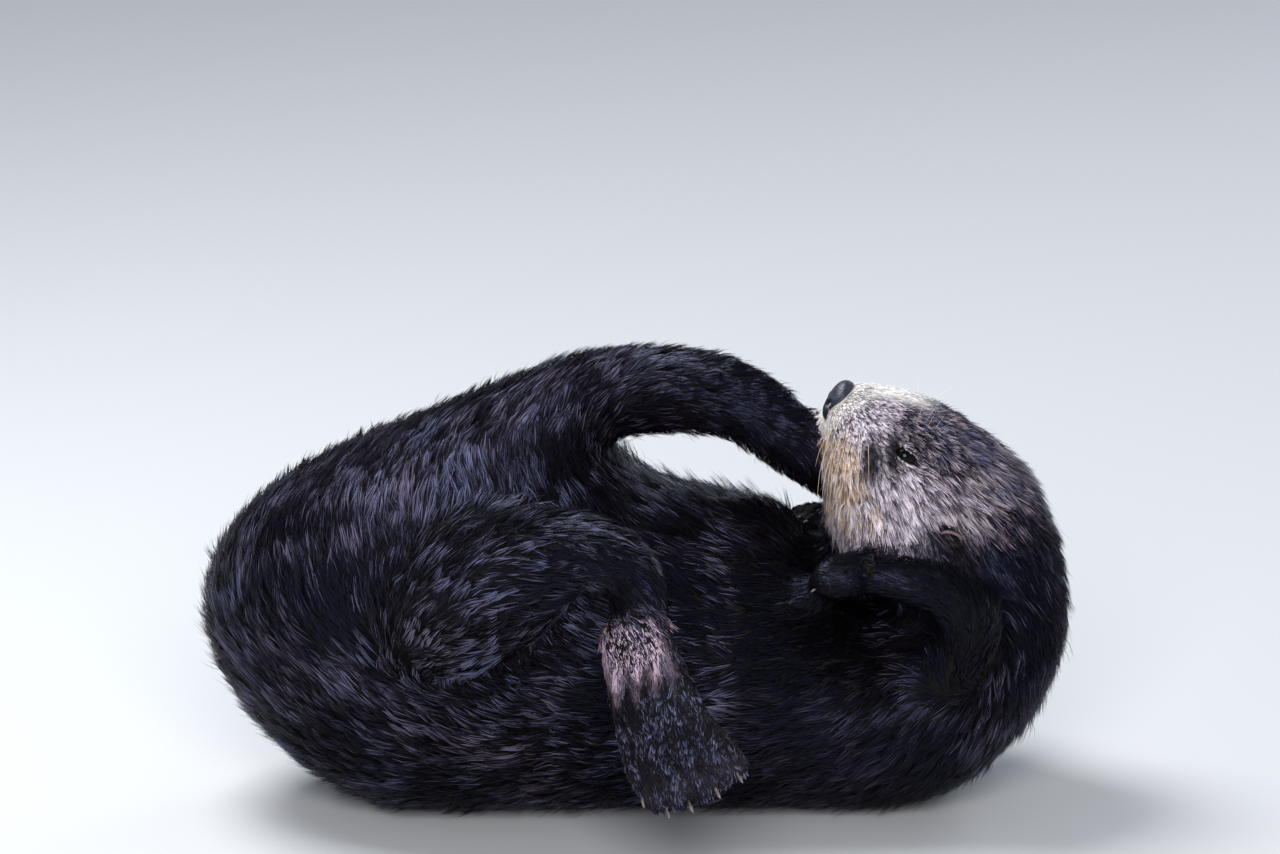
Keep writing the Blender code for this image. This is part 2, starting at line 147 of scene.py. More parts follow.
def step(low, high, values):
    """0 below low, 1 above high, and smooth between."""
    share = np.clip((np.asarray(values, float) - low) / (high - low), 0.0, 1.0)
    return share * share * (3 - 2 * share)


def unit(vectors):
    length = np.linalg.norm(vectors, axis=-1, keepdims=True)
    return vectors / np.maximum(length, 1e-9)


def distance_from(centre, points):
    return np.linalg.norm(points - centre, axis=1)


def segment_distance(points, start, end):
    run = end - start
    share = np.clip((points - start) @ run / (run @ run), 0, 1)[:, None]
    return distance_from(start + share * run, points)


def mixed(first, second, share):
    return first * (1 - share) + second * share


def blob(*offsets):
    """1 in the middle of a soft round mark, falling off around it. Offsets are in shares of its size."""
    return np.exp(-sum(offset ** 2 for offset in offsets))


def pushed(points, normals, heights):
    """Points moved along their normals."""
    return points + normals * heights[:, None]


def point_tree(points):
    tree = KDTree(len(points))
    for i, point in enumerate(points):
        tree.insert(point, i)
    tree.balance()
    return tree


def by_kind(table, kinds):
    return np.array([table[kind] for kind in kinds])


def node_arrays(name):
    """A node's vertices, welded, and its triangles."""
    bm = bmesh.new()
    bm.from_mesh(NODES[name].data)
    bmesh.ops.remove_doubles(bm, verts=bm.verts, dist=1e-6)
    bmesh.ops.triangulate(bm, faces=bm.faces)
    bmesh.ops.recalc_face_normals(bm, faces=bm.faces)
    bm.verts.ensure_lookup_table()
    bm.normal_update()
    points = np.array([v.co for v in bm.verts])
    normals = np.array([v.normal for v in bm.verts])
    faces = np.array([[v.index for v in f.verts] for f in bm.faces])
    bm.free()
    return points, normals, faces


ARRAYS = {name: node_arrays(name) for name in FLESH + FILLING}


def kind_of(name):
    return name[:-2] if name[-2:] in ("_L", "_R") else name


def new_object(name, mesh):
    ob = bpy.data.objects.new(name, mesh)
    bpy.context.scene.collection.objects.link(ob)
    return ob


def mesh_from(name, points, faces):
    """A mesh from an array of points and a list of arrays of faces, each with its own count of corners."""
    mesh = bpy.data.meshes.new(name)
    loops = np.concatenate([f.ravel() for f in faces])
    totals = np.concatenate([np.full(len(f), f.shape[1]) for f in faces])
    starts = np.concatenate(([0], np.cumsum(totals)[:-1]))
    mesh.vertices.add(len(points))
    mesh.vertices.foreach_set("co", np.ascontiguousarray(points, np.float32).ravel())
    mesh.loops.add(len(loops))
    mesh.loops.foreach_set("vertex_index", loops.astype(np.int32))
    mesh.polygons.add(len(totals))
    mesh.polygons.foreach_set("loop_start", starts.astype(np.int32))
    mesh.polygons.foreach_set("loop_total", totals.astype(np.int32))
    mesh.update(calc_edges=True)
    mesh.polygons.foreach_set("use_smooth", np.ones(len(totals), bool))
    return mesh


def read_values(items, key, width, kind):
    """A value of each of a mesh's items, as rows of the given width."""
    values = np.empty(len(items) * width, kind)
    items.foreach_get(key, values)
    return values.reshape(-1, width)


def mesh_points(mesh):
    return read_values(mesh.vertices, "co", 3, np.float32).astype(float)


def set_points(mesh, points):
    mesh.vertices.foreach_set("co", np.ascontiguousarray(points, np.float32).ravel())
    mesh.update()


def mesh_normals(mesh):
    mesh.update()
    return read_values(mesh.vertex_normals, "vector", 3, np.float32).astype(float)


def mesh_edges(mesh):
    return read_values(mesh.edges, "vertices", 2, np.int32)


def mesh_triangles(mesh):
    """Each triangle's corners, as vertices and as loops."""
    mesh.calc_loop_triangles()
    return [read_values(mesh.loop_triangles, key, 3, np.int32) for key in ("vertices", "loops")]


def ring_faces(rings, around):
    """Quads between rings of points."""
    i, k = np.meshgrid(np.arange(rings - 1), np.arange(around), indexing="ij")
    after = (k + 1) % around
    near, far = i * around, (i + 1) * around
    return np.stack((near + k, near + after, far + after, far + k), -1).reshape(-1, 4)


def ring_caps(rings, around):
    """Triangles that close the first and last ring, around two points that follow the rings' own."""
    k = np.arange(around)
    after = (k + 1) % around
    first = np.full(around, rings * around)
    last = (rings - 1) * around
    return np.concatenate((
        np.stack((first, after, k), axis=1),
        np.stack((first + 1, last + k, last + after), axis=1),
    ))


def faced_out(mesh):
    """Closes any open ring and turns every face outwards."""
    bm = bmesh.new()
    bm.from_mesh(mesh)
    bmesh.ops.holes_fill(bm, edges=[edge for edge in bm.edges if edge.is_boundary])
    bmesh.ops.recalc_face_normals(bm, faces=bm.faces)
    bm.to_mesh(mesh)
    bm.free()
    return mesh


def modified(name, points, faces, kind, **settings):
    """A mesh of points and faces, with one modifier applied."""
    mesh = mesh_from(name, points, [faces])
    ob = new_object(name, mesh)
    modifier = ob.modifiers.new(name, kind)
    for key, value in settings.items():
        setattr(modifier, key, value)
    made = bpy.data.meshes.new_from_object(ob.evaluated_get(bpy.context.evaluated_depsgraph_get()))
    bpy.data.objects.remove(ob)
    bpy.data.meshes.remove(mesh)
    return made


def smoothed(values, edges, rounds, share=0.5):
    """Evens out values over a mesh. share may differ from one vertex to the next."""
    count = len(values)
    flat = values.reshape(count, -1).copy()
    ends = np.concatenate((edges[:, 0], edges[:, 1]))
    others = np.concatenate((edges[:, 1], edges[:, 0]))
    degree = np.maximum(np.bincount(ends, minlength=count), 1)
    share = np.broadcast_to(np.asarray(share, float), (count,))
    for _ in range(rounds):
        for k in range(flat.shape[1]):
            mean = np.bincount(ends, weights=flat[others, k], minlength=count) / degree
            flat[:, k] += (mean - flat[:, k]) * share
    return flat.reshape(values.shape)


def set_attribute(mesh, name, values):
    mesh.attributes.new(name, "FLOAT", "POINT")
    mesh.attributes[name].data.foreach_set("value", np.ascontiguousarray(values, np.float32))


# The skin.

def merged(names, grow):
    """The nodes' points, each moved out by grow of its node's name, their faces, and each face's node."""
    points, faces, owners = [], [], []
    count = 0
    for name in names:
        node_points, normals, node_faces = ARRAYS[name]
        points.append(node_points + normals * grow(name))
        faces.append(node_faces + count)
        owners += [name] * len(node_faces)
        count += len(node_points)
    return np.concatenate(points), np.concatenate(faces), owners


def voxel_skin():
    """All flesh as one closed mesh, with the cuts between nodes, the sockets and the nose seat filled."""
    names = [name for name in FLESH + FILLING if not name.startswith("ear")]
    points, faces, _ = merged(names, lambda name: EYE_GROW if name.startswith("eye") else GROW)
    return modified("skin_source", points, faces, "REMESH", mode="VOXEL", voxel_size=VOXEL)


class Solids:
    """Says which node each point belongs to."""

    def __init__(self):
        points, faces, self.owners = merged(FLESH + FILLING, lambda name: 0.0)
        self.tree = BVHTree.FromPolygons(points.tolist(), faces.tolist())

    def names(self, points):
        return np.array([self.owners[self.tree.find_nearest(Vector(point))[2]] for point in points])


def cap_between(first, second):
    """Middle and facing of the cut between two nodes, facing from the first to the second."""
    points, others = ARRAYS[first][0], ARRAYS[second][0]
    tree = point_tree(others)
    near = np.array([p for p in points if tree.find(p)[2] < CUT_REACH])
    middle = (near.min(0) + near.max(0)) / 2
    facing = np.linalg.svd(near - near.mean(0))[2][2]
    if facing @ (others.mean(0) - points.mean(0)) < 0:
        facing = -facing
    return middle, facing


def body_planes():
    """Planes across the body, from the nose to the tail's tip. Node i lies between planes i and i + 1."""
    planes = [(NOSE_MIDDLE, -FORWARD)]
    for first, second in zip(BODY, BODY[1:]):
        planes.append(cap_between(first, second))
    tip_points = ARRAYS["tail_tip"][0]
    last_middle = planes[-1][0]
    end = tip_points[np.argmax(distance_from(last_middle, tip_points))]
    planes.append((end, unit(end - last_middle)))
    return planes


FAR_SHARE = 0.12              # of a solid's points, which count as its far end


def limb_path(chain):
    """Points down a limb, from the body to the toes."""
    upper, lower, foot = (ARRAYS[name][0] for name in chain)
    knee, _ = cap_between(chain[0], chain[1])

    def far_end(points, start):
        distance = distance_from(start, points)
        return points[distance >= np.quantile(distance, 1 - FAR_SHARE)].mean(0)

    top = far_end(upper, knee)
    ankle = far_end(lower, knee)
    toes = far_end(foot, ankle)
    middle = (ankle + toes) / 2
    near = foot[distance_from(middle, foot) < 0.03]
    if len(near) > 3:
        middle = near.mean(0)
    return np.array((top, knee, ankle, middle, toes))


PLANES = body_planes()
PATHS = [limb_path(chain) for chain in LIMBS]


def path_of(name):
    """The path of the limb that a node is in."""
    return next(path for chain, path in zip(LIMBS, PATHS) if name in chain)


def body_flow(points, index):
    start, start_facing = PLANES[index]
    end, end_facing = PLANES[index + 1]
    past = (points - start) @ start_facing
    left = (end - points) @ end_facing
    share = np.clip(past / np.maximum(np.abs(past) + np.abs(left), 1e-6), 0, 1)[:, None]
    return unit(start_facing * (1 - share) + end_facing * share)


def limb_flow(points, path):
    total = np.zeros_like(points)
    for start, end in zip(path, path[1:]):
        distance = segment_distance(points, start, end)
        total += unit(end - start) * (1 / (distance ** 3 + 1e-7))[:, None]
    return unit(total)


def head_flow(points):
    """Back from the nose and over the head, and down with its own weight on the cheeks."""
    from_nose = unit(points - (NOSE_MIDDLE + FORWARD * 0.004))
    forward, up, out = head_frame(points)
    cheek = step(0.012, 0.05, out) * step(0.02, -0.03, up)
    rear = step(-0.06, -0.14, forward)[:, None]
    radial = 0.75 - 0.55 * rear
    return unit(mixed(body_flow(points, 0), from_nose, radial) + DOWN * (0.35 * cheek)[:, None])


def flow_of(points, names):
    """Which way the coat lies, from the body, limb or head that each point is on."""
    flow = np.zeros_like(points)
    for name in set(names):
        mine = names == name
        if name in FILLING or name == "head" or name.startswith("ear"):
            flow[mine] = head_flow(points[mine])
        elif name in BODY:
            flow[mine] = body_flow(points[mine], BODY.index(name))
        else:
            flow[mine] = limb_flow(points[mine], path_of(name))
    return flow


def subdivided(mesh, chosen):
    """Divides the faces whose middles are chosen."""
    bm = bmesh.new()
    bm.from_mesh(mesh)
    centres = np.array([f.calc_center_median() for f in bm.faces])
    take = chosen(centres)
    edges = {edge for face, wanted in zip(bm.faces, take) if wanted for edge in face.edges}
    bmesh.ops.subdivide_edges(bm, edges=list(edges), cuts=1, use_grid_fill=True)
    bm.to_mesh(mesh)
    bm.free()
    mesh.update()


SOLIDS = Solids()


def bump(points, normals, centre, radius, height):
    return pushed(points, normals, height * blob(distance_from(centre, points) / radius))


CREASES = (("thigh", 26, 90), ("upper_arm", 14, 30))    # limb, its crease's reach, and rounds of smoothing
HEAD_NODES = ["head", "nose", "eye_L", "eye_R"]
MUZZLE_DEPTH = 0.0020         # the coat's depth on the muzzle
NOSE_DEPTH = 0.0008           # and around the nose


def make_skin():
    mesh = voxel_skin()
    edges = mesh_edges(mesh)
    points = smoothed(mesh_points(mesh), edges, 8)
    names = SOLIDS.names(points)
    kinds = np.array([kind_of(name) for name in names])
    trunk = np.isin(kinds, BODY)
    for kind, reach, rounds in CREASES:
        limb = smoothed((kinds == kind) * 1.0, edges, reach)
        rest = smoothed(trunk * 1.0, edges, reach)
        crease = step(0.10, 0.30, np.minimum(limb, rest))
        points = smoothed(points, edges, rounds, crease * 0.5)
    forward = head_frame(points)[0]
    muzzle = step(-0.085, -0.015, forward) * np.isin(names, HEAD_NODES)
    depth = smoothed(mixed(by_kind(DEPTH, kinds), MUZZLE_DEPTH, muzzle), edges, 20)
    round_nose = step(0.032, 0.020, distance_from(NOSE_MIDDLE, points))
    depth = mixed(depth, NOSE_DEPTH, round_nose)
    set_points(mesh, points)
    set_points(mesh, smoothed(pushed(points, mesh_normals(mesh), -depth), edges, 3))
    return mesh


SKIN_MESH = make_skin()


# The head's own shapes, worked into the skin.

EYE_RADIUS = radius_of("eye_L")
EYE_SINK = 0.0012
SLIT_HALF = 0.0108            # half of the eye's opening along the lids
SLIT_HEIGHT = 0.0036
LID = 0.0011                  # how far the lids stand off the eyeball
LID_DROP = 0.0026             # how far the skin drops inside the opening
MOUTH = [(-0.003, -0.036, 0.0), (-0.016, -0.043, 0.016), (-0.034, -0.050, 0.031), (-0.052, -0.050, 0.043)]
LIP_GROOVE = [(0.001, -0.026, 0.0), (0.001, -0.031, 0.0), (0.001, -0.036, 0.0)]
# Shapes on both sides of the head: their place, radius and height.
SWELLINGS = (
    ((-0.019, -0.024, 0.021), 0.015, 0.0030),       # the whiskers' pad
    ((-0.060, 0.026, 0.044), 0.016, 0.0022),        # the brow
    ((-0.046, 0.006, 0.047), 0.010, -0.0020),       # the hollow in front of the eye
    ((-0.085, -0.030, 0.066), 0.026, 0.0030),       # the cheek
)
# Lines in the skin: their path, side, depth and width.
SKIN_LINES = ((MOUTH, -1, 0.0022, 0.0016), (MOUTH, 1, 0.0022, 0.0016), (LIP_GROOVE, 1, 0.0014, 0.0013))


class Eye:
    """Where one eye sits, looks and opens."""

    def __init__(self, side, letter):
        self.side = side
        self.letter = letter
        out = np.array((0.0, side, 0.0))
        self.look = unit(out * 0.90 + FORWARD * 0.34 + UPWARD * 0.24)
        self.middle = middle_of("eye_" + letter) - self.look * EYE_SINK
        along = -FORWARD * 0.940 + UPWARD * 0.342
        self.along = unit(along - self.look * (along @ self.look))
        self.across = unit(np.cross(self.look, self.along))
        if self.across @ UPWARD < 0:
            self.across = -self.across

    def places(self, points):
        """Places along the lids, across them and in front of the eye, and the distance from its middle."""
        offset = points - self.middle
        return offset @ self.along, offset @ self.across, offset @ self.look, np.linalg.norm(offset, axis=1)

    def opening(self, points):
        """Under 1 inside the opening between the lids. The upper lid is the straighter one."""
        along, across, front, _ = self.places(points)
        height = np.where(across > 0, SLIT_HEIGHT * 0.85, SLIT_HEIGHT * 1.1)
        value = (np.abs(along) / SLIT_HALF) ** 1.6 + (across / height) ** 2
        return np.where(front > 0, value, 99.0)


EYES = [Eye(-1, "L"), Eye(1, "R")]


def near_face(centres):
    forward = head_frame(centres)[0]
    return (forward > -0.105) & (np.abs(centres[:, 1]) < 0.09) & near_head(centres)


def near_head(points):
    """Leaves out the tail and paws, which lie close in front of the face."""
    offset = points - (HEAD_ORIGIN - FORWARD * 0.07 - UPWARD * 0.006)
    forward, up, side = offset @ FORWARD, offset @ UPWARD, offset[:, 1]
    return (forward / 0.082) ** 2 + (up / 0.083) ** 2 + (side / 0.082) ** 2 < 1.0


def near_features(centres):
    take = head_frame(centres)[0] > -0.050
    for eye in EYES:
        take |= distance_from(eye.middle, centres) < 0.024
    return take & near_head(centres)


def near_lids(centres):
    take = np.zeros(len(centres), bool)
    for eye in EYES:
        _, _, front, distance = eye.places(centres)
        take |= (distance < 0.019) & (front > 0)
    return take


def distance_to_path(points, path):
    return np.min([segment_distance(points, start, end) for start, end in zip(path, path[1:])], axis=0)


def skin_tree(mesh):
    triangles, _ = mesh_triangles(mesh)
    return BVHTree.FromPolygons(mesh_points(mesh).tolist(), triangles.tolist())


def on_surface(tree, point):
    return np.array(tree.find_nearest(Vector(point))[0])


def sculpt_head(mesh):
    for chosen, rounds in ((near_face, 3), (near_features, 3), (near_lids, 2)):
        subdivided(mesh, chosen)
        soften(mesh, chosen, rounds)
    start = mesh_points(mesh)
    normals = mesh_normals(mesh)
    points = start
    for side in (-1, 1):
        for place, radius, height in SWELLINGS:
            points = bump(points, normals, from_head(*place, side), radius, height)
    set_points(mesh, points)
    tree = skin_tree(mesh)
    normals = mesh_normals(mesh)
    for line, side, depth, width in SKIN_LINES:
        path = [on_surface(tree, from_head(*place, side)) for place in line]
        points = pushed(points, normals, -depth * blob(distance_to_path(points, path) / width))
    points = np.where(near_head(start)[:, None], points, start)
    for eye in EYES:
        points = shape_lids(points, eye)
    set_points(mesh, points)


def soften(mesh, chosen, rounds):
    points = mesh_points(mesh)
    share = chosen(points) * 0.5
    set_points(mesh, smoothed(points, mesh_edges(mesh), rounds, share))


def shape_lids(points, eye):
    """Draws the skin over the eyeball as two lids around the opening, and behind the ball inside it."""
    along, across, front, distance = eye.places(points)
    fold = 0.0007 * blob((across - SLIT_HEIGHT - 0.0030) / 0.0010)
    fold += 0.0005 * blob((across + SLIT_HEIGHT + 0.0026) / 0.0010)
    inside = 1 - step(0.80, 1.12, eye.opening(points))
    lid = EYE_RADIUS + LID - LID_DROP * inside - fold * step(0.011, 0.006, np.abs(along))
    blend = step(0.0165, 0.0095, np.hypot(along, across)) * (front > 0) * (distance < 0.024)
    radius = mixed(distance, lid, blend)
    return eye.middle + (points - eye.middle) * (radius / np.maximum(distance, 1e-6))[:, None]


sculpt_head(SKIN_MESH)


# Feet and ears are finer than the voxels, and join the same skin.

def foot_share(name, points):
    """0 at the foot's start and 1 at its toes."""
    heel, _, toes = path_of(name)[2:]
    run = toes - heel
    return (points - heel) @ run / (run @ run)


def fine_foot(name):
    """A foot's own solid, rounded and drawn in by its short coat, and further under the limb's skin."""
    points, _, faces = ARRAYS[name]
    made = modified(name + "_fine", points, faces, "SUBSURF", levels=2)
    shape = mesh_points(made)
    depth = FINE_FOOT_DEPTH + JOIN_DEPTH * step(0.45, 0.10, foot_share(name, shape))
    set_points(made, pushed(shape, mesh_normals(made), -depth))
    return made


EAR_RINGS = 14
EAR_AROUND = 40
EAR_ROOT = 0.009              # how deep in the head it starts
EAR_RADIUS = 0.0084
EAR_RISE = 0.0070             # how far above its solid's middle it starts
EAR_HEIGHT = 0.0092
EAR_THICK = 0.0008
EAR_FOLD = 0.0004             # height of the folds inside
EAR_CURL = 0.0016
EAR_FLAT = 0.62               # its thickness as a share of its width


def ear_axes(side, letter):
    """The ear's base, the way it stands out, the way it opens, and its width. It is longer above."""
    base = middle_of("ear_" + letter) - DOWN * EAR_RISE
    axis = unit(np.array((-0.10, side * 0.95, 0.16)))
    face = unit(np.array((-0.25, 0.0, -1.0)))
    face = unit(face - axis * (face @ axis))
    return base - axis * EAR_ROOT, axis, face, np.cross(axis, face)


def ear_mesh(side, letter):
    """A small thick shell, curled like a leaf, its hood above and its opening below and outwards."""
    start, axis, face, wide = ear_axes(side, letter)
    rows = []
    for inside in (False, True):
        for i in range(EAR_RINGS + 1):
            t = 1 - i / EAR_RINGS if inside else i / EAR_RINGS
            arch = math.sin(math.pi * t)
            ring = []
            for k in range(EAR_AROUND):
                turn = 2 * math.pi * k / EAR_AROUND
                back = 0.5 - 0.5 * math.cos(turn)
                height = EAR_ROOT + EAR_HEIGHT * (0.40 + 0.60 * back ** 0.9)
                radius = EAR_RADIUS * (0.62 + 0.38 * math.sin(t * math.pi * 0.62))
                thick = EAR_THICK * (1 + 0.5 * arch)
                if inside:
                    thick = -thick - EAR_FOLD * math.sin(5 * turn) * arch
                opening = (radius + thick) * EAR_FLAT - EAR_CURL * t ** 3
                beside = wide * (radius + thick) * math.sin(turn)
                ring.append(start + axis * (height * t) + face * (opening * math.cos(turn)) + beside)
            rows.append(ring)
    middle = np.mean(rows[-1], axis=0) + axis * 0.002
    rows[-1] = [middle + (point - middle) * 0.1 for point in rows[-1]]
    faces = ring_faces(len(rows), EAR_AROUND)
    return faced_out(mesh_from("ear_" + letter + "_fine", np.array(rows).reshape(-1, 3), [faces]))


def joined(name, meshes):
    objects = [new_object(name + "_%d" % i, mesh) for i, mesh in enumerate(meshes)]
    with bpy.context.temp_override(
        active_object=objects[0],
        object=objects[0],
        selected_objects=objects,
        selected_editable_objects=objects,
    ):
        bpy.ops.object.join()
    ob = objects[0]
    ob.name = name
    ob.data.name = name
    return ob


SKIN_PARTS = [SKIN_MESH]
for foot in FEET:
    SKIN_PARTS.append(fine_foot(foot))
for eye in EYES:
    SKIN_PARTS.append(ear_mesh(eye.side, eye.letter))
PART_COUNTS = [len(mesh.vertices) for mesh in SKIN_PARTS]
SKIN = joined("skin", SKIN_PARTS)
PART_OF = np.repeat(np.arange(len(PART_COUNTS)), PART_COUNTS)
FINE_PARTS = FEET + ["ear_" + eye.letter for eye in EYES]


def fine_part(name):
    """True for the skin's points that belong to this foot or ear."""
    return PART_OF == FINE_PARTS.index(name) + 1


# Fields over the skin: whose it is, which way the coat lies, how deep and long it is, and its markings, with
# painted shade and highlights among them.

ANKLE_LENGTH = 0.0075         # how much longer the foot's coat is where it meets the limb
SPIKE = 0.011                 # how far a wet point of the coat stands up
SPIKE_SHARE = 0.12            # of the clumps, which stand up like this
FINE_COAT_DEPTH = 0.0016      # on the feet
HEAD_KINDS = ["head", "nose", "eye", "ear"]
COAT_SHARE = {"tail_tip": 0.70, "tail_middle": 0.85}     # of the skin's depth, where the coat lies flatter
CHIN_CLOSE = 0.42             # how much shorter and flatter the coat lies on the chin


class Fields:
    """Values at the skin's vertices."""

    def __init__(self, ob):
        mesh = ob.data
        self.points = mesh_points(mesh)
        self.normals = mesh_normals(mesh)
        edges = mesh_edges(mesh)
        self.names = SOLIDS.names(self.points)
        for name in FINE_PARTS:
            self.names[fine_part(name)] = name
        self.kinds = np.array([kind_of(name) for name in self.names])
        self.head = np.isin(self.kinds, HEAD_KINDS) & (PART_OF == 0)
        self.flow = self.lie(edges)
        forward, up, out = head_frame(self.points)
        depth, length = self.coat_sizes(forward, up)
        feet = (PART_OF > 0) & (PART_OF <= len(FEET))
        self.depth = np.where(feet, FINE_COAT_DEPTH, smoothed(depth, edges, 12))
        self.length = smoothed(length, edges, 12)
        self.width = smoothed(by_kind(WIDTH, self.kinds), edges, 12)
        self.stand = smoothed(self.standing(forward), edges, 6)
        marks = markings(self, forward, up, out)
        self.marks = {key: smoothed(values, edges, 2) for key, values in marks.items()}

    def lie(self, edges):
        """The coat's flow along the skin, evened out, less on the face than on the body."""
        flow = smoothed(flow_of(self.points, self.names), edges, 12)
        flow = smoothed(flow, edges, 40, ~np.isin(self.names, HEAD_NODES) * 0.5)
        across = (flow * self.normals).sum(1)[:, None]
        return unit(flow - self.normals * across)

    def coat_sizes(self, forward, up):
        """Depth and length of the coat. Both shrink towards the nose and around the eyes."""
        share = np.array([COAT_SHARE.get(kind, 1.0) for kind in self.kinds])
        depth = by_kind(DEPTH, self.kinds) * share
        length = by_kind(LENGTH, self.kinds)
        for foot in FEET:
            near_limb = step(0.45, 0.05, foot_share(foot, self.points)) * fine_part(foot)
            length = length + ANKLE_LENGTH * near_limb
        depth = mixed(depth, 0.0022, step(-0.075, -0.012, forward) * self.head)
        face = step(-0.135, -0.030, forward) * self.head
        jowl = step(-0.012, -0.050, up) * step(-0.030, -0.070, forward) * self.head
        nose_near = step(0.040, 0.018, distance_from(NOSE_MIDDLE, self.points))
        for place, wanted in ((face, 0.0085), (jowl, 0.0170), (nose_near, 0.0040)):
            length = mixed(length, wanted, place)
        chin = step(-0.060, -0.020, forward) * step(0.010, -0.015, up) * self.head
        length = length * (1 - CHIN_CLOSE * chin)
        depth = depth * (1 - CHIN_CLOSE * chin)
        top = step(0.0, 0.03, up) * step(-0.10, -0.04, forward) * self.head
        length = length * (1 - 0.25 * top)
        for eye in EYES:
            near = step(0.022, 0.012, distance_from(eye.middle, self.points))
            length = length * (1 - 0.45 * near)
            depth = depth * (1 - 0.6 * near)
        return depth, length

    def standing(self, forward):
        """How far the coat's wet points stand up: most on the belly, and not on the face and feet."""
        belly = np.isin(self.kinds, ["abdomen", "chest", "loin", "neck"]) * step(0.3, 0.8, self.normals[:, 2])
        flat = HEAD_KINDS + ["hindfoot", "forepaw", "forearm", "shank"]
        nape = step(-0.085, -0.130, forward) * self.head
        return ~np.isin(self.kinds, flat) * (0.35 + 0.65 * belly) + 0.45 * nape


def ear_marks():
    """The ears' rims, and the inner faces below them, whose rings come after the outer ones."""
    rim = np.zeros(len(PART_OF))
    inner = np.zeros(len(PART_OF))
    for eye in EYES:
        mine = np.flatnonzero(fine_part("ear_" + eye.letter))
        ring, place = np.divmod(np.arange(len(mine)), EAR_AROUND)
        hood = step(0.25, 0.75, 0.5 - 0.5 * np.cos(2 * math.pi * place / EAR_AROUND))
        rim[mine] = (np.abs(ring - EAR_RINGS - 0.5) < 3) * hood
        inner[mine] = np.where(ring > EAR_RINGS + 3, 1.0, 1 - hood)
    return rim, inner


# Dark patches in front of each eye: strength, how far ahead, half length, how far above, half height.
DARK_PATCHES = ((2.2, 0.0125, 0.0056, 0.0075, 0.0115), (2.8, 0.0285, 0.0052, 0.0020, 0.0110))
# Painted shade and painted highlights by part. Positive values give the coat fewer bright points and darker
# tips, as painted shade: the forelimbs under the chin's shadow, the tail and the chest. Negative values give
# it more bright points, as painted highlights of the wet coat: thighs, hips and belly.
PAINTED_SHADE_AND_GLINT = {"forearm": 1.0, "forepaw": 1.0, "upper_arm": 1.0, "tail_tip": 0.7, "tail_middle": 0.7, "chest": 0.7,
        "thigh": -1.0, "pelvis": -1.0, "loin": -1.0, "abdomen": -1.0}


def dark_marks(points, near):
    """The dark patches at the eyes and below the ears."""
    dark = np.zeros(len(points))
    for eye in EYES:
        along, across, front, distance = eye.places(points)
        ahead_of_eye = eye.middle[0] - points[:, 0]
        above_eye = points[:, 2] - eye.middle[2]
        patch = 0.6 * blob((along + 0.002) / 0.014, (across - 0.013) / 0.0050)
        for strength, ahead, half_length, above, half_height in DARK_PATCHES:
            patch += strength * blob((ahead_of_eye - ahead) / half_length, (above_eye - above) / half_height)
        dark = np.maximum(dark, patch * (distance < 0.06) * (front > -0.01) * near)
        below_ear = middle_of("ear_" + eye.letter) + np.array((-0.009, 0.0, 0.001))
        dark = np.maximum(dark, 3.0 * blob(distance_from(below_ear, points) / 0.017))
    return np.clip(dark, 0, 1)


def foot_marks(points, normals):
    """The pale patches on the hind soles, bare skin with a painted lavender reflection of the sky, and the
    pads.
    """
    sole_and_sheen = np.zeros(len(points))
    pads = np.zeros(len(points))
    for foot in FEET:
        mine = fine_part(foot)
        share = foot_share(foot, points)
        outward = np.array((0.0, -1.0 if foot.endswith("L") else 1.0, 0.0))
        facing = normals @ unit(outward * 0.55 + np.array((-0.80, 0.0, 0.15)))
        if foot.startswith("hind"):
            x, y, z = points.T
            ragged = 0.07 * np.sin(x * 420) + 0.07 * np.sin(z * 350 + y * 300)
            reach = step(0.36, 0.14, share + ragged) * step(-0.06, 0.04, share)
            # Bare sole skin where the sole faces out and forwards, with a painted lavender reflection of the
            # sky on it.
            sole_and_sheen += mine * step(0.34, 0.78, facing + ragged) * reach
            pads += mine * step(0.80, 0.92, share)
        else:
            pads += mine * step(0.35, 0.70, share) * step(0.0, 0.5, -normals[:, 2])
    return np.clip(sole_and_sheen, 0, 1), pads


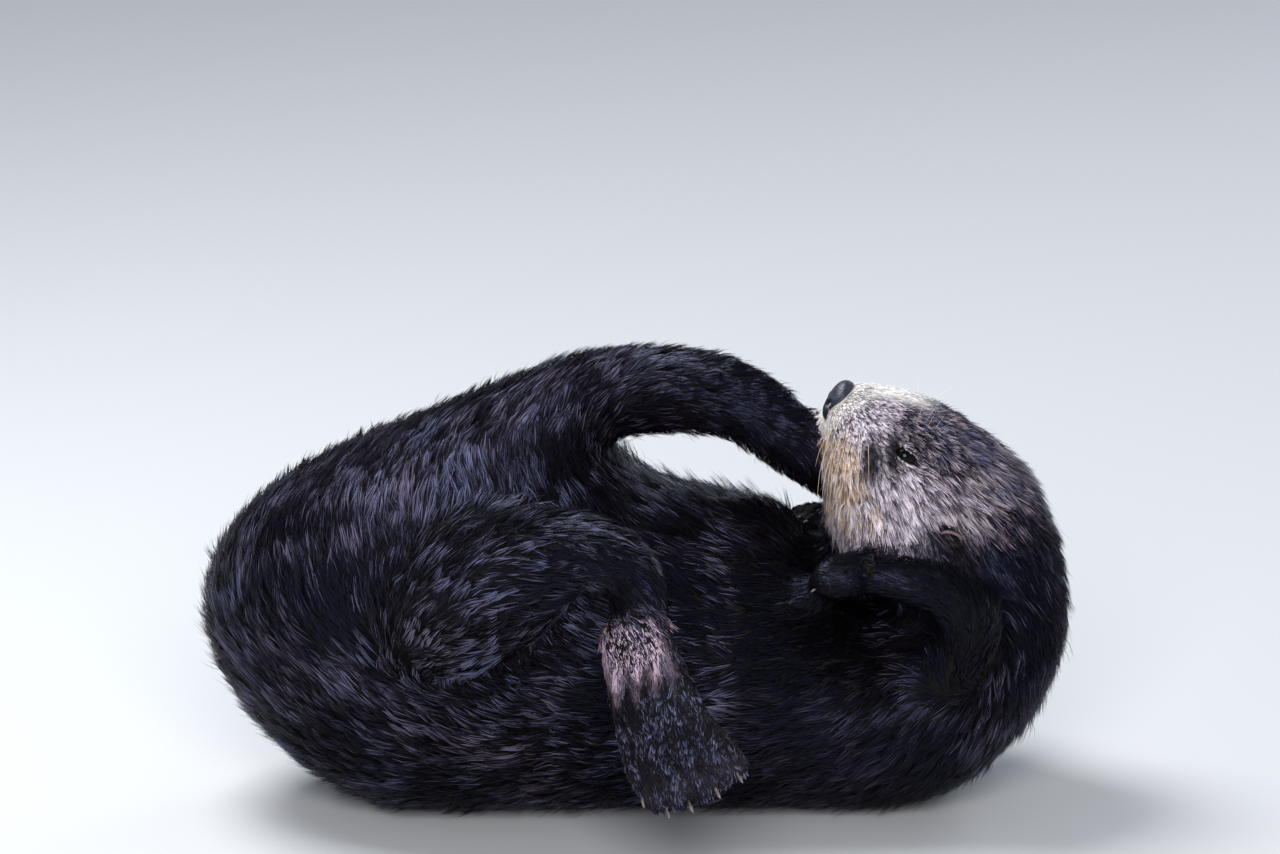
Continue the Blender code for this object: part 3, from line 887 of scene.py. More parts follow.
def markings(fields, forward, up, out):
    """Shares of each marking of the coat and the bare skin, 0 to 1, and the parts' painted shade and
    highlights, from -1.
    """
    points = fields.points
    wave = 0.006 * np.sin(points[:, 0] * 140) * np.sin(points[:, 2] * 110 + 1.0)
    near = fields.head | (fields.kinds == "neck")
    ahead = points[:, 0] - HEAD_ORIGIN[0]
    below = HEAD_ORIGIN[2] - points[:, 2]
    back = forward + wave - 0.45 * np.clip(up, -0.05, 0.08)
    brow = step(-0.024, -0.042, forward) * step(-0.125, -0.085, forward) * step(0.006, 0.020, up)
    pale = 0.62 * step(-0.165, -0.085, back) + 0.38 * step(-0.270, -0.140, back)
    # The pale fur fades out low under the chin: partly its real limit above the dark neck, partly painted
    # shade where the chin hangs over the forelimbs.
    pale *= near * (1 - 0.60 * brow) * step(0.127, 0.095, below + wave)
    cream = step(-0.062, -0.038, forward) * step(-0.021, -0.007, up + forward) * step(0.021, 0.008, out)
    cream = cream * near
    nose_spot = step(0.034, 0.023, distance_from(NOSE_MIDDLE, points)) * near * 0.85
    tan = step(0.034, -0.006, ahead + wave * 1.5) * step(0.022, 0.040, below) * step(0.118, 0.086, below)
    tan = tan * near
    lids = np.max([step(2.1, 1.3, eye.opening(points)) * near for eye in EYES], axis=0)
    ears, inner = ear_marks()
    sole_and_sheen, pads = foot_marks(points, fields.normals)
    return {
        "pale": pale,
        "cream": np.maximum(cream, nose_spot),
        "tan": tan,
        "dark": dark_marks(points, near),
        "lids": lids,
        "ear": ears,
        # Painted shade (above 0) and painted highlights (below 0) of each part.
        "painted_shade_and_glint": np.array([PAINTED_SHADE_AND_GLINT.get(kind, 0.0) for kind in fields.kinds]),
        # Bare sole skin with its painted reflection.
        "sole_and_sheen": sole_and_sheen,
        "pads": np.clip(pads + inner, 0, 1),
    }


FIELDS = Fields(SKIN)
for key, values in FIELDS.marks.items():
    set_attribute(SKIN.data, key, values)


def unwrap_skin():
    """The skin's own unwrap, which the tufts share."""
    mesh = SKIN.data
    layer = mesh.uv_layers.new(name="OFBake")
    bpy.context.view_layer.objects.active = SKIN
    SKIN.select_set(True)
    bpy.ops.object.mode_set(mode="EDIT")
    bpy.ops.mesh.select_all(action="SELECT")
    bpy.ops.uv.smart_project(angle_limit=math.radians(66), island_margin=0.002)
    bpy.ops.object.mode_set(mode="OBJECT")


unwrap_skin()


# The coat: tufts rooted in the skin, each a ridged blade of seven points that lies along the flow.

class Roots:
    """Random roots on the skin, with the fields at each."""

    def __init__(self, chosen, count, density):
        mesh = SKIN.data
        triangles, loops = mesh_triangles(mesh)
        keep = chosen[triangles].mean(1) > 0.5
        triangles = triangles[keep]
        loops = loops[keep]
        first, second, third = FIELDS.points[triangles].transpose(1, 0, 2)
        area = np.linalg.norm(np.cross(second - first, third - first), axis=1) / 2
        weight = area * density[triangles].mean(1)
        total = np.cumsum(weight)
        even = (np.arange(count) + RANDOM.random(count)) / count
        index = np.searchsorted(total, even * total[-1])
        index = RANDOM.permutation(np.minimum(index, len(weight) - 1))
        a = np.sqrt(RANDOM.random(count))
        b = RANDOM.random(count)
        self.shares = np.stack((1 - a, a * (1 - b), a * b), axis=1)
        self.corners = triangles[index]
        self.point = self.take(FIELDS.points)
        self.normal = unit(self.take(FIELDS.normals))
        flow = self.take(FIELDS.flow)
        self.flow = unit(flow - self.normal * (flow * self.normal).sum(1)[:, None])
        self.depth = self.take(FIELDS.depth)
        self.length = self.take(FIELDS.length)
        self.width = self.take(FIELDS.width)
        self.stand = self.take(FIELDS.stand)
        self.marks = {key: self.take(values) for key, values in FIELDS.marks.items()}
        uv = read_values(mesh.uv_layers["OFBake"].data, "uv", 2, np.float32)[loops[index]]
        self.uv = (uv * self.shares[:, :, None]).sum(1)

    def take(self, values):
        found = values[self.corners]
        shares = self.shares if found.ndim == 2 else self.shares[:, :, None]
        return (found * shares).sum(1)


def nearest(points, centres):
    tree = point_tree(centres)
    return np.array([tree.find(point)[1] for point in points])


def turned(vectors, normals, angles):
    """Vectors in the tangent plane, turned about the normals."""
    across = np.cross(normals, vectors)
    return vectors * np.cos(angles)[:, None] + across * np.sin(angles)[:, None]


STRAY_SHARE = 0.055           # of the tufts, which leave their clump
STRAY_RISE = 1.7              # and how much higher they stand
DARK_RISE = 0.0014            # how much higher the dark patches stand


def grow_tufts(roots, lock_gap, clump_of, gather, lift):
    """Seven points for each tuft, and the tones that its colours are picked by."""
    count = len(roots.point)
    locks = RANDOM.permutation(count)[:max(count // lock_gap, 1)]
    lock = nearest(roots.point, roots.point[locks])
    turn = RANDOM.normal(0.0, 0.16, len(locks))[lock] + RANDOM.normal(0.0, 0.10, count)
    raised = RANDOM.uniform(0.75, 1.25, len(locks))[lock]
    lock_tone = RANDOM.random(len(locks))[lock]
    lock_pick = RANDOM.random(len(locks))[lock]
    flow = turned(roots.flow, roots.normal, turn)
    length = roots.length * RANDOM.uniform(0.70, 1.25, count)
    stray = RANDOM.random(count) > 1 - STRAY_SHARE
    height = roots.depth * RANDOM.uniform(0.35, 1.05, count) * raised * lift
    height = np.where(stray, height * STRAY_RISE, height) + DARK_RISE * roots.marks["dark"]
    height = np.minimum(height, length * 0.8)
    reach = np.sqrt(length ** 2 - height ** 2)
    root = roots.point - roots.normal * 0.0008
    middle = pushed(roots.point + flow * (reach * 0.48)[:, None], roots.normal, height * 0.66)
    tip = pushed(roots.point + flow * reach[:, None], roots.normal, height)
    clumps = RANDOM.permutation(count)[:max(count // clump_of, 1)]
    clump = nearest(roots.point, roots.point[clumps])
    spike = SPIKE * roots.stand * RANDOM.uniform(0.5, 1.0, len(clumps))[clump]
    spike = spike * (RANDOM.random(len(clumps)) < SPIKE_SHARE)[clump]
    spike = (roots.normal - DOWN * 0.3) * spike[:, None]
    tip = tip + spike
    middle = middle + spike * 0.4
    share = (gather * RANDOM.uniform(0.6, 1.1, count) * np.where(stray, 0.2, 1.0))[:, None]
    middle = mixed(middle, middle[clumps][clump], share * 0.45)
    tip = mixed(tip, tip[clumps][clump], share)
    width = (roots.width * RANDOM.uniform(0.75, 1.2, count) / 2)[:, None]
    side = unit(np.cross(flow, roots.normal)) * width
    ridge = roots.normal * width * 0.55
    points = np.stack((
        root - side, root + ridge, root + side,
        middle - side * 0.8, middle + ridge, middle + side * 0.8,
        tip,
    ), axis=1)
    points[:, :, 2] = np.maximum(points[:, :, 2], FLOOR_GAP)
    tone = mixed(RANDOM.random(count), RANDOM.random(len(clumps))[clump], 0.55)
    return points, {"tone": tone, "lock": lock_tone, "pick": mixed(RANDOM.random(count), lock_pick, 0.45)}


FLOOR_GAP = 0.0004
TUFT_POINTS = 7
TUFT_FACES = ((0, 1, 4, 3), (1, 2, 5, 4)), ((3, 4, 6), (4, 5, 6))
TUFT_ALONG = np.array((0.0, 0.0, 0.0, 0.5, 0.5, 0.5, 1.0))
TUFT_ACROSS = np.array((-1.0, 0.0, 1.0, -0.8, 0.0, 0.8, 0.0))
PATCH = 0.003                 # a tuft's size on the unwrap


def coat_piece(name, points, tones, roots, chosen, uv):
    count = len(chosen)
    base = (np.arange(count) * TUFT_POINTS)[:, None, None]
    quads, thirds = ((base + np.array(faces)).reshape(-1, len(faces[0])) for faces in TUFT_FACES)
    mesh = mesh_from(name, points[chosen].reshape(-1, 3), [quads, thirds])
    set_attribute(mesh, "along", np.tile(TUFT_ALONG, count))
    for key, values in (tones | roots.marks).items():
        set_attribute(mesh, key, np.repeat(values[chosen], TUFT_POINTS))
    spread = np.stack((TUFT_ACROSS * PATCH * 0.45, (TUFT_ALONG - 0.5) * PATCH * 0.9), axis=1)
    places = (uv[chosen][:, None, :] + spread[None]).reshape(-1, 2)
    corners = np.concatenate((quads.ravel(), thirds.ravel()))
    layer = mesh.uv_layers.new(name="OFBake")
    layer.data.foreach_set("uv", np.ascontiguousarray(places[corners], np.float32).ravel())
    mesh.materials.append(COAT)
    ob = new_object(name, mesh)
    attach(ob, "root")


def off_the_eyes(points):
    """True for the tufts that leave the openings between the lids free."""
    keep = np.ones(len(points), bool)
    for eye in EYES:
        for k in (0, 1, 4, 6):
            keep &= eye.opening(points[:, k]) > 1.25
    return keep


def off_the_ears(points):
    """True for the tufts that stay out of the ears' openings."""
    keep = np.ones(len(points), bool)
    for eye in EYES:
        start, axis, face, _ = ear_axes(eye.side, eye.letter)
        centre = start + axis * (EAR_ROOT + 0.004) + face * 0.001
        for k in (1, 4, 6):
            offset = points[:, k] - centre
            rise = offset @ axis
            beside = np.linalg.norm(offset - np.outer(rise, axis), axis=1)
            keep &= (beside > EAR_RADIUS * 0.80) | (np.abs(rise) > 0.014)
    return keep


NOSE_CLEAR = (0.0105, 0.0185, 0.0165)     # half the space that the coat leaves to the nose


def off_the_nose(points):
    offset = points - NOSE_MIDDLE
    places = np.stack((offset @ NOSE_FRONT, offset @ NOSE_UP, offset[:, 1]), axis=1)
    return ((places / NOSE_CLEAR) ** 2).sum(1) > 1.0


def polar_uv(points):
    """The head's own unwrap: around the muzzle's axis, outwards with the angle from it."""
    centre = HEAD_ORIGIN - FORWARD * 0.085 - UPWARD * 0.008
    offset = unit(points - centre)
    angle = np.arccos(np.clip(offset @ FORWARD, -1, 1)) / math.pi
    turn = np.arctan2(offset[:, 1], offset @ UPWARD)
    return np.stack((0.5 + 0.49 * angle * np.sin(turn), 0.5 + 0.49 * angle * np.cos(turn)), axis=1)


def make_coat():
    density = by_kind(DENSITY, FIELDS.kinds)
    body = Roots((~FIELDS.head & (sum(ear_marks()) < 0.35)) * 1.0, TUFTS_PER_PIECE * BODY_PIECES, density)
    points, tones = grow_tufts(body, 60, 10, 0.70, 1.05)
    keep = np.flatnonzero(off_the_eyes(points))
    for i in range(BODY_PIECES):
        name = "coat_body_%d" % (i + 1)
        coat_piece(name, points, tones, body, keep[i::BODY_PIECES], body.uv)
    density = 1.0 + 1.6 * step(-0.10, -0.03, head_frame(FIELDS.points)[0])
    head = Roots(FIELDS.head * 1.0, TUFTS_PER_PIECE * HEAD_PIECES, density)
    points, tones = grow_tufts(head, 40, 9, 0.74, 1.0)
    keep = np.flatnonzero(off_the_eyes(points) & off_the_ears(points) & off_the_nose(points[:, 1]))
    for i in range(HEAD_PIECES):
        name = "coat_head_%d" % (i + 1)
        coat_piece(name, points, tones, head, keep[i::HEAD_PIECES], polar_uv(head.point))


# Materials.

class Nodes:
    """A short way to build a material's nodes."""

    def __init__(self, name):
        self.material = bpy.data.materials.new(name)
        self.material.use_nodes = True
        self.tree = self.material.node_tree
        self.shader = self.tree.nodes["Principled BSDF"]

    def link(self, value, socket):
        if isinstance(value, bpy.types.NodeSocket):
            self.tree.links.new(value, socket)
        elif isinstance(value, tuple) and len(value) == 3 and socket.type == "RGBA":
            socket.default_value = (*value, 1.0)
        else:
            socket.default_value = value

    def node(self, kind, output, inputs, **settings):
        """An output of a new node, whose inputs are given by name or place."""
        node = self.tree.nodes.new("ShaderNode" + kind)
        for key, value in settings.items():
            setattr(node, key, value)
        for key, value in inputs.items():
            self.link(value, node.inputs[key])
        return node.outputs[output]

    def value(self, name):
        return self.node("Attribute", "Fac", {}, attribute_name=name)

    def mix(self, share, first, second, blend="MIX"):
        inputs = {"Factor": share, "A": first, "B": second}
        return self.node("Mix", "Result", inputs, data_type="RGBA", blend_type=blend)

    def over(self, colour, *layers):
        """A colour with layers over it, each given by its share and its colour."""
        for share, layer in layers:
            colour = self.mix(share, colour, layer)
        return colour

    def math(self, operation, *values):
        return self.node("Math", 0, dict(enumerate(values)), operation=operation)

    def times(self, value, factor):
        return self.math("MULTIPLY", value, factor)

    def range(self, value, low, high, to_low=0.0, to_high=1.0):
        return self.node("MapRange", "Result", dict(enumerate((value, low, high, to_low, to_high))))

    def place(self):
        return self.node("TexCoord", "Object", {})

    def noise(self, scale, detail=3.0, roughness=0.6):
        inputs = {"Vector": self.place(), "Scale": scale, "Detail": detail, "Roughness": roughness}
        return self.node("TexNoise", "Fac", inputs)

    def cells(self, scale):
        return self.node("TexVoronoi", "Distance", {"Vector": self.place(), "Scale": scale})

    def bump(self, height, strength, distance):
        inputs = {"Strength": strength, "Distance": distance, "Height": height}
        self.link(self.node("Bump", "Normal", inputs), self.shader.inputs["Normal"])

    def finish(self, colour, roughness):
        self.link(colour, self.shader.inputs["Base Color"])
        self.link(roughness, self.shader.inputs["Roughness"])
        return self.material


def coat_material():
    nodes = Nodes("damp_fur")
    along, tone, lock, pick = (nodes.value(key) for key in ("along", "tone", "lock", "pick"))
    pale, cream, tan, dark = (nodes.value(key) for key in ("pale", "cream", "tan", "dark"))
    # The parts' painted shade and highlights, and the soles' bare skin with its painted reflection.
    painted_shade_and_glint, sole_and_sheen = nodes.value("painted_shade_and_glint"), nodes.value("sole_and_sheen")
    grizzle = nodes.range(nodes.math("SUBTRACT", pale, nodes.times(pick, 0.80)), 0.0, 0.16)
    grizzle = nodes.times(grizzle, nodes.range(pale, 0.0, 0.25))
    root = nodes.over(
        (0.0022, 0.0018, 0.0022),
        (grizzle, (0.038, 0.027, 0.030)),
        (nodes.times(tan, 0.8), (0.064, 0.036, 0.020)),
        (nodes.times(cream, 0.8), (0.56, 0.52, 0.48)),
        # Sole: bare skin with a painted lavender reflection.
        (sole_and_sheen, (0.64, 0.46, 0.57)),
        (nodes.times(dark, 0.9), (0.008, 0.006, 0.008)),
    )
    patches = nodes.range(nodes.noise(9.0), 0.35, 0.70)
    bright = nodes.range(tone, 0.30, 0.66)
    fine = nodes.math("MULTIPLY_ADD", pick, 0.55, nodes.times(tone, 0.45))
    # Painted light by part: more bright points where painted highlights go, fewer where painted shade goes.
    fine = nodes.math("MULTIPLY_ADD", painted_shade_and_glint, -0.045, fine)
    # Silver tips: partly the coat's real silver-tipped guard hairs, partly painted highlights of the wet
    # coat, gathered where the noise patches run high.
    silver_tips_and_glints = nodes.range(nodes.math("MULTIPLY_ADD", patches, 0.26, fine), 0.72, 0.96)
    silver_tips_and_glints = nodes.times(silver_tips_and_glints, nodes.range(painted_shade_and_glint, 0.0, 1.0, 1.0, 0.0))
    # Painted sheen: the silver tips take a blue-violet colour that stands in for the sky's reflection on the
    # wet coat.
    painted_sheen_share = nodes.range(nodes.noise(16.0), 0.38, 0.62)
    painted_sheen = nodes.mix(painted_sheen_share, (0.205, 0.228, 0.410), (0.252, 0.214, 0.325))
    bright_end = nodes.mix(nodes.range(pale, 0.25, 0.85), (0.560, 0.450, 0.520), (1.000, 0.900, 1.000))
    face = nodes.mix(bright, (0.066, 0.046, 0.058), bright_end)
    straw = nodes.mix(bright, (0.50, 0.29, 0.150), (1.00, 0.82, 0.63))
    straw_share = nodes.range(nodes.math("SUBTRACT", tan, nodes.times(pick, 1.60)), 0.0, 0.15)
    tip = nodes.over(
        (0.0024, 0.0028, 0.0070),
        (patches, (0.0140, 0.0088, 0.0120)),
        # Painted shade: the tips of the shaded parts darken towards black.
        (nodes.range(painted_shade_and_glint, 0.0, 1.0, 0.0, 0.7), (0.0016, 0.0016, 0.0026)),
        # Silver tips in the painted blue-violet sheen.
        (nodes.times(silver_tips_and_glints, 0.85), painted_sheen),
        (grizzle, face),
        (nodes.times(straw_share, 0.88), straw),
        (nodes.times(cream, 0.92), (0.95, 0.93, 0.90)),
        (nodes.times(dark, 0.95), (0.010, 0.008, 0.011)),
        # Sole: bare skin with a painted lavender reflection.
        (sole_and_sheen, (0.90, 0.68, 0.84)),
    )
    colour = nodes.mix(nodes.range(along, 0.10, 0.90), root, tip)
    shade = nodes.range(lock, 0.0, 1.0, 0.62, 1.28)
    colour = nodes.mix(1.0, colour, nodes.mix(shade, (0.0, 0.0, 0.0), (1.0, 1.0, 1.0)), "MULTIPLY")
    nodes.shader.inputs["Specular IOR Level"].default_value = 0.22
    nodes.shader.inputs["Specular Tint"].default_value = (0.48, 0.54, 1.0, 1.0)
    return nodes.finish(colour, nodes.range(grizzle, 0.0, 1.0, 0.25, 0.48))


def skin_material():
    nodes = Nodes("skin_and_underfur")
    grain = nodes.noise(260.0, 4.0, 0.65)
    colour = nodes.over(
        (0.0030, 0.0024, 0.0028),
        (nodes.value("pale"), (0.050, 0.037, 0.038)),
        (nodes.value("tan"), (0.070, 0.040, 0.024)),
        (nodes.times(nodes.value("cream"), 0.8), (0.52, 0.46, 0.40)),
        (nodes.value("dark"), (0.008, 0.006, 0.007)),
        (nodes.value("lids"), (0.016, 0.012, 0.014)),
        (nodes.value("ear"), (0.190, 0.120, 0.140)),
        (nodes.value("pads"), nodes.mix(grain, (0.008, 0.006, 0.007), (0.020, 0.015, 0.017))),
        (nodes.range(grain, 0.3, 0.7, 0.0, 0.4), (0.0, 0.0, 0.0)),
        # Sole: bare skin with a painted lavender reflection.
        (nodes.value("sole_and_sheen"), nodes.mix(grain, (0.560, 0.390, 0.460), (0.760, 0.570, 0.660))),
    )
    nodes.bump(grain, 0.5, 0.0006)
    nodes.shader.inputs["Specular IOR Level"].default_value = 0.12
    return nodes.finish(colour, nodes.range(grain, 0.3, 0.7, 0.55, 0.72))


COAT = coat_material()
SKIN.data.materials.clear()
SKIN.data.materials.append(skin_material())


# Nose, eyes, whiskers and claws.

NOSE_TILT = HEAD_PITCH - NOSE_LEAN
NOSE_FRONT = np.array((-math.cos(NOSE_TILT), 0.0, math.sin(NOSE_TILT)))
NOSE_UP = np.array((math.sin(NOSE_TILT), 0.0, math.cos(NOSE_TILT)))
NOSE_HALF = (0.0112, 0.0190, 0.0168)      # depth, height and width
NOSE_SQUARENESS = 2.6         # 2 would be an ellipse in profile
NOSE_PAD_SINK = 0.0022


def sphere_grid(around, rings):
    """Unit directions over a sphere whose pole is the first axis, and its faces."""
    turn = np.arange(around) * 2 * math.pi / around
    tilt = (np.arange(rings) + 0.5) * math.pi / rings
    a = np.repeat(np.cos(tilt), around)
    b = np.outer(np.sin(tilt), np.cos(turn)).ravel()
    c = np.outer(np.sin(tilt), np.sin(turn)).ravel()
    points = np.vstack((np.stack((a, b, c), axis=1), (1.0, 0.0, 0.0), (-1.0, 0.0, 0.0)))
    return points, [ring_faces(rings, around), ring_caps(rings, around)]


def make_nose():
    """A broad leathery pad, widest above its middle, with two nostrils that curl out and down."""
    directions, faces = sphere_grid(120, 64)
    front, up, side = directions.T
    wide = np.abs(side)
    lean = np.where(up > 0, np.abs(up) ** 2.2 * 0.34, np.abs(up) ** 1.6 * 0.52)
    depth = NOSE_HALF[0] * (1 - 0.10 * wide ** 2) * np.where(front > 0, 1.0, 0.30)
    square = (np.abs(front) ** NOSE_SQUARENESS + np.abs(up) ** NOSE_SQUARENESS) ** (1 / NOSE_SQUARENESS)
    full = np.hypot(front, up) / np.maximum(square, 1e-6)
    hole = blob((wide - 0.40) / 0.15, (up + 0.22 - 0.35 * (wide - 0.40)) / 0.12)
    slit = blob((up + 0.30 + 0.55 * (wide - 0.50)) / 0.055) * step(0.40, 0.50, wide) * step(0.95, 0.75, wide)
    wing = blob((wide - 0.42) / 0.22, (up - 0.02) / 0.13)
    groove = blob(wide / 0.055) * step(0.15, -0.25, up)
    dent = 0.0048 * hole + 0.0016 * slit + 0.0010 * groove - 0.0008 * wing
    points = NOSE_MIDDLE + (
        np.outer(front * depth * full - dent * (front > 0) - NOSE_PAD_SINK, NOSE_FRONT)
        + np.outer(up * full * NOSE_HALF[1], NOSE_UP)
        + np.outer(side * (1 - lean) * NOSE_HALF[2], (0.0, 1.0, 0.0))
    )
    mesh = faced_out(mesh_from("nose_pad", points, faces))
    set_attribute(mesh, "hole", np.clip(hole * 1.3 + slit * 0.6, 0, 1) * (front > 0))
    nodes = Nodes("nose_leather")
    grain = nodes.cells(900.0)
    fine = nodes.noise(320.0, 4.0, 0.6)
    colour = nodes.mix(fine, (0.009, 0.010, 0.020), (0.027, 0.030, 0.052))
    colour = nodes.mix(nodes.range(grain, 0.0, 0.5), (0.014, 0.014, 0.020), colour)
    colour = nodes.mix(nodes.value("hole"), colour, (0.003, 0.002, 0.003))
    nodes.bump(nodes.math("MULTIPLY_ADD", grain, 0.6, fine), 0.6, 0.0005)
    mesh.materials.append(nodes.finish(colour, nodes.range(fine, 0.3, 0.7, 0.30, 0.45)))
    ob = new_object("nose_pad", mesh)
    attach(ob, "root")
    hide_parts("nose")


def eye_material():
    """The iris is nearly as dark as the pupil. gaze is the angle from the way the eye looks."""
    nodes = Nodes("wet_eye")
    gaze = nodes.value("gaze")
    streaks = nodes.noise(900.0, 4.0, 0.7)
    colour = nodes.over(
        (0.0015, 0.0015, 0.002),
        (nodes.range(gaze, 0.30, 0.34), nodes.mix(streaks, (0.002, 0.0015, 0.0012), (0.006, 0.0035, 0.0025))),
        (nodes.range(gaze, 0.66, 0.74), (0.006, 0.004, 0.004)),
        (nodes.range(gaze, 0.80, 1.10), (0.014, 0.009, 0.008)),
    )
    nodes.shader.inputs["Specular IOR Level"].default_value = 0.05
    nodes.shader.inputs["Coat Weight"].default_value = 0.16
    nodes.shader.inputs["Coat Roughness"].default_value = 0.03
    return nodes.finish(colour, nodes.range(streaks, 0.3, 0.7, 0.10, 0.18))


def make_eyes():
    material = eye_material()
    directions, faces = sphere_grid(64, 48)
    front = directions[:, 0]
    radius = EYE_RADIUS - 0.0003 + 0.0005 * step(0.78, 1.0, front)
    for eye in EYES:
        axes = np.stack((eye.look, eye.along, np.cross(eye.look, eye.along)))
        points = eye.middle + directions @ axes * radius[:, None]
        mesh = faced_out(mesh_from("eyeball_" + eye.letter, points, faces))
        set_attribute(mesh, "gaze", np.arccos(np.clip(front, -1, 1)))
        mesh.materials.append(material)
        ob = new_object("eyeball_" + eye.letter, mesh)
        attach(ob, "root")
        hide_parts("eye_" + eye.letter)


def tube(path, radii, sides):
    """Rings of points around a path, closed at both ends, their faces, and how far along each point is."""
    runs = unit(np.gradient(path, axis=0))
    across = unit(np.cross(runs, (0.31, 0.23, 0.92)))
    over = np.cross(runs, across)
    turn = (np.arange(sides) * 2 * math.pi / sides)[None, :, None]
    ring = np.cos(turn) * across[:, None] + np.sin(turn) * over[:, None]
    rings = path[:, None] + ring * radii[:, None, None]
    points = np.vstack((rings.reshape(-1, 3), path[0], path[-1]))
    along = np.append(np.repeat(np.linspace(0, 1, len(path)), sides), (0.0, 1.0))
    return points, ring_faces(len(path), sides), ring_caps(len(path), sides), along


def tubes_mesh(name, tubes, tones):
    """Many tubes in one mesh, with a tone for each."""
    shapes, quads, caps, along = zip(*tubes)
    counts = [len(shape) for shape in shapes]
    starts = np.cumsum([0] + counts[:-1])
    faces = [np.concatenate([part + start for part, start in zip(parts, starts)]) for parts in (quads, caps)]
    mesh = faced_out(mesh_from(name, np.concatenate(shapes), faces))
    set_attribute(mesh, "tone", np.repeat(tones, counts))
    set_attribute(mesh, "along", np.concatenate(along))
    return mesh


TREE = skin_tree(SKIN.data)


def skin_at(point):
    """The nearest place on the skin, its facing and its distance."""
    place, facing, _, distance = TREE.find_nearest(Vector(point))
    return np.array(place), np.array(facing), distance


def hanging_hair(start, normal, lead, length, droop, clear, steps=16):
    """A path that leaves the skin along lead, droops, and slides over the coat instead of through it."""
    path = [start - normal * 0.002]
    run = unit(lead)
    gap = length / steps
    for k in range(steps):
        run = unit(run + DOWN * droop * (gap / 0.006))
        point = path[-1] + run * gap
        place, facing, distance = skin_at(point)
        away = (point - place) @ facing
        wanted = clear * min(1.0, (k + 1) / 4)
        if distance < 0.03 and away < wanted:
            point = point + facing * (wanted - away)
            run = unit(point - path[-1])
        path.append(point)
    return np.array(path)


WHISKER_ROWS = 4
WHISKER_COLUMNS = 4
BROW_HAIRS = 4
HAIR_SIDES = 5


def make_whiskers():
    tubes, tones = [], []

    def add(path, thick, thin, tone):
        tubes.append(tube(path, np.linspace(thick, thin, len(path)), HAIR_SIDES))
        tones.append(tone)

    for side in (-1, 1):
        for row in range(WHISKER_ROWS):
            for column in range(WHISKER_COLUMNS):
                forward = -0.020 - 0.0065 * column - 0.0020 * row
                up = -0.0120 - 0.0050 * row + 0.0010 * column
                out = 0.019 + 0.0062 * column
                place, facing, _ = skin_at(from_head(forward, up, out, side))
                lead = facing * 0.05 + DOWN - FORWARD * 0.42 + RANDOM.normal(0.0, 0.08, 3)
                length = RANDOM.uniform(0.032, 0.058) + 0.004 * column
                path = hanging_hair(place, facing, lead, length, RANDOM.uniform(0.25, 0.40), 0.0022)
                add(path, 0.00023, 0.00007, RANDOM.random())
        for k in range(BROW_HAIRS):
            forward = -0.052 - 0.0048 * k
            up = 0.032 + 0.004 * (k % 2)
            place, facing, _ = skin_at(from_head(forward, up, 0.024, side))
            lead = facing * 0.9 - FORWARD * 0.15 - DOWN * 0.35 + RANDOM.normal(0.0, 0.35, 3)
            path = hanging_hair(place, facing, lead, RANDOM.uniform(0.016, 0.030), 0.01, 0.002)
            add(path, 0.00014, 0.00005, 0.9)
    mesh = tubes_mesh("whiskers", tubes, tones)
    nodes = Nodes("whisker_hair")
    along, tone = nodes.value("along"), nodes.value("tone")
    colour = nodes.mix(tone, (0.72, 0.46, 0.25), (0.95, 0.84, 0.70))
    colour = nodes.mix(nodes.range(along, 0.0, 0.25, 0.6, 0.0), colour, (0.10, 0.07, 0.05))
    mesh.materials.append(nodes.finish(colour, nodes.range(nodes.noise(300.0), 0.3, 0.7, 0.30, 0.45)))
    ob = new_object("whiskers", mesh)
    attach(ob, "root")


# Length, radius and places across the foot.
CLAWS = {
    "hindfoot": (0.0085, 0.0017, (-0.86, -0.46, 0.0, 0.46, 0.86)),
    "forepaw": (0.0060, 0.0012, (-0.70, -0.36, 0.0, 0.36, 0.70)),
}
CLAW_SIDES = 10
CLAW_STEPS = np.linspace(0, 1, 8)
CLAW_TAPER = np.sqrt(np.clip(1 - CLAW_STEPS ** 1.7, 0.004, 1)) * (0.75 + 0.25 * np.sin(math.pi * CLAW_STEPS))
BODY_MIDDLE = middle_of("abdomen")


def make_claws():
    tubes, tones = [], []
    t = CLAW_STEPS[:, None]
    for foot in FEET:
        length, radius, places = CLAWS[kind_of(foot)]
        points = FIELDS.points[fine_part(foot)]
        middle, toes = path_of(foot)[3:]
        run = unit(toes - middle)
        reach = (points - middle) @ run
        front = points[reach > np.quantile(reach, 0.60)]
        centre = front.mean(0)
        spread = np.linalg.svd(front - centre - np.outer((front - centre) @ run, run))[2][0]
        spread = unit(spread - run * (spread @ run))
        offset = (points - centre) @ spread
        half = np.abs((front - centre) @ spread).max()
        for place in places:
            near = np.abs(offset - place * half) < half * 0.10
            tip = points[near][np.argmax(reach[near])]
            lead = unit(run + spread * place * 0.25)
            down = np.cross(spread, lead)
            if down @ (points.mean(0) - BODY_MIDDLE) > 0:
                down = -down
            curve = tip + lead * length * (1.2 * t - 0.45) + down * length * 0.35 * t ** 2
            tubes.append(tube(curve, radius * CLAW_TAPER, CLAW_SIDES))
            tones.append(RANDOM.random())
    mesh = tubes_mesh("claws", tubes, tones)
    nodes = Nodes("claw_horn")
    along = nodes.value("along")
    lines = nodes.noise(700.0, 3.0, 0.7)
    colour = nodes.mix(nodes.range(along, 0.2, 1.0), (0.050, 0.036, 0.032), (0.330, 0.265, 0.225))
    colour = nodes.mix(nodes.range(lines, 0.3, 0.7, 0.0, 0.45), colour, (0.030, 0.022, 0.020))
    nodes.bump(lines, 0.3, 0.0003)
    mesh.materials.append(nodes.finish(colour, nodes.range(lines, 0.3, 0.7, 0.25, 0.40)))
    ob = new_object("claws", mesh)
    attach(ob, "root")


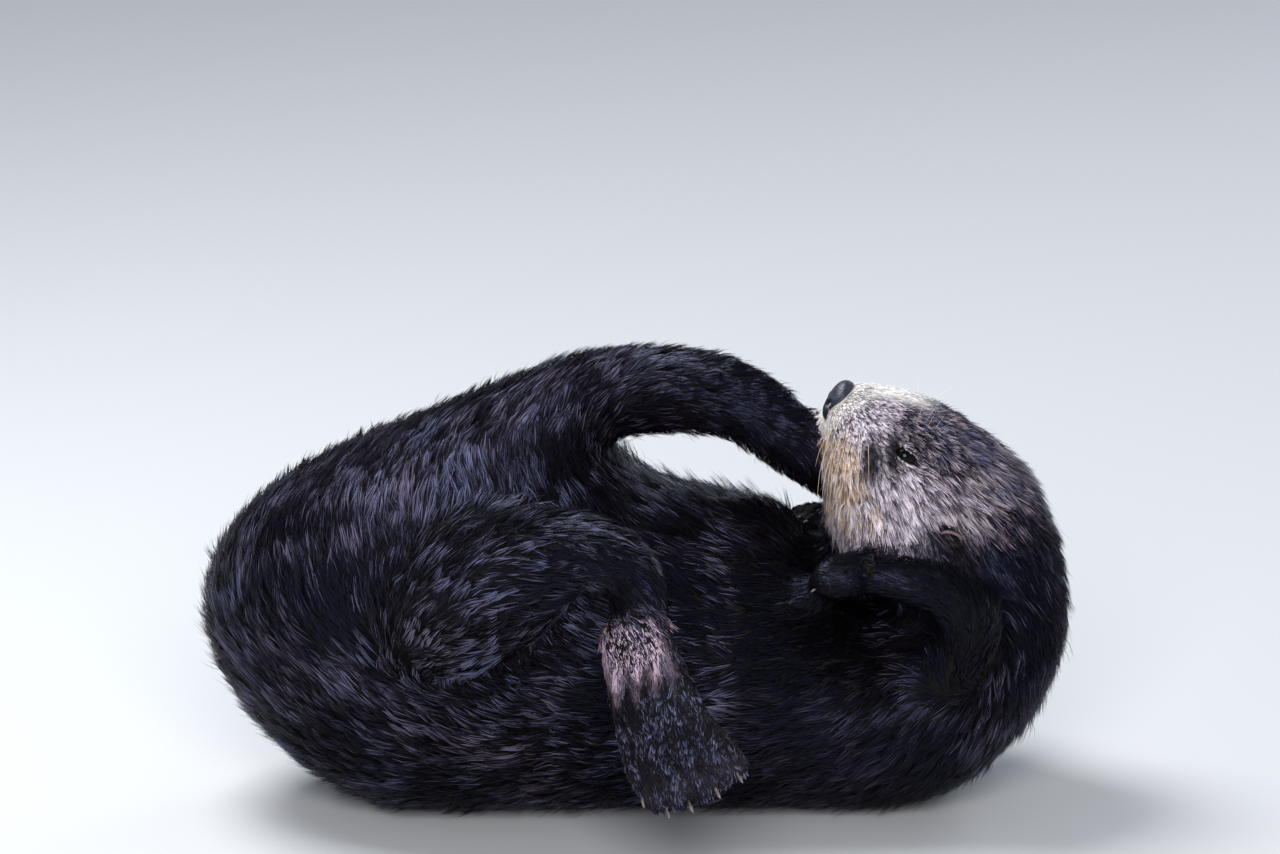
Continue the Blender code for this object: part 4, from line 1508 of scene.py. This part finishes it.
make_nose()
make_eyes()
make_whiskers()
make_claws()
make_coat()


# The stage: a plain floor, soft light from above, and the camera.

CAMERA_AIM = Vector((0.0, 0.0, 0.3114))
CAMERA_ELEVATION = math.radians(17.0)
CAMERA_DISTANCE = 8.0
FRAME_WIDTH = 1.024           # metres across the picture at the aim
FLOOR_HALF = 30.0
LIGHT_AIM = Vector((0.0, 0.0, 0.15))
# Each light's place, size, power and colour.
LIGHTS = {
    "key": ((-0.9, 0.5, 2.4), 1.2, 70.0, (0.97, 0.98, 1.0)),
    "fill": ((0.0, -2.8, 1.5), 1.3, 76.0, (1.0, 0.98, 0.98)),
    "rim": ((1.8, 2.2, 1.6), 1.0, 18.0, (0.88, 0.93, 1.0)),
}


def aimed(name, data, place, direction):
    """A light or camera that looks along direction."""
    ob = new_object(name, data)
    ob.location = place
    ob.rotation_mode = "QUATERNION"
    ob.rotation_quaternion = direction.to_track_quat("-Z", "Y")
    return ob


def make_stage():
    for ob in list(bpy.data.objects):
        if ob.type in ("LIGHT", "CAMERA") or ob.name == "Cube":
            bpy.data.objects.remove(ob)
    mesh = bpy.data.meshes.new("floor")
    corners = [(x * FLOOR_HALF, y * FLOOR_HALF, 0) for x, y in ((-1, -1), (1, -1), (1, 1), (-1, 1))]
    mesh.from_pydata(corners, [], [(0, 1, 2, 3)])
    mesh.materials.append(Nodes("floor_paint").finish((0.60, 0.61, 0.62), 0.7))
    floor = new_object("floor", mesh)
    world = bpy.data.worlds.new("soft_room")
    bpy.context.scene.world = world
    world.use_nodes = True
    background = world.node_tree.nodes["Background"]
    background.inputs["Color"].default_value = (0.80, 0.88, 1.0, 1.0)
    background.inputs["Strength"].default_value = 0.38
    for name, (place, size, power, colour) in LIGHTS.items():
        data = bpy.data.lights.new(name, "AREA")
        data.size = size
        data.energy = power
        data.color = colour
        aimed(name, data, place, LIGHT_AIM - Vector(place))


def make_camera():
    data = bpy.data.cameras.new("camera")
    data.sensor_width = 36.0
    data.lens = data.sensor_width * CAMERA_DISTANCE / FRAME_WIDTH
    data.clip_end = 100.0
    back = Vector((0.0, -math.cos(CAMERA_ELEVATION), math.sin(CAMERA_ELEVATION)))
    camera = aimed("camera", data, CAMERA_AIM + back * CAMERA_DISTANCE, -back)
    bpy.context.scene.camera = camera


make_stage()
make_camera()
bpy.context.scene.view_settings.view_transform = "Standard"

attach(SKIN, "root")
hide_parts(*FLESH)
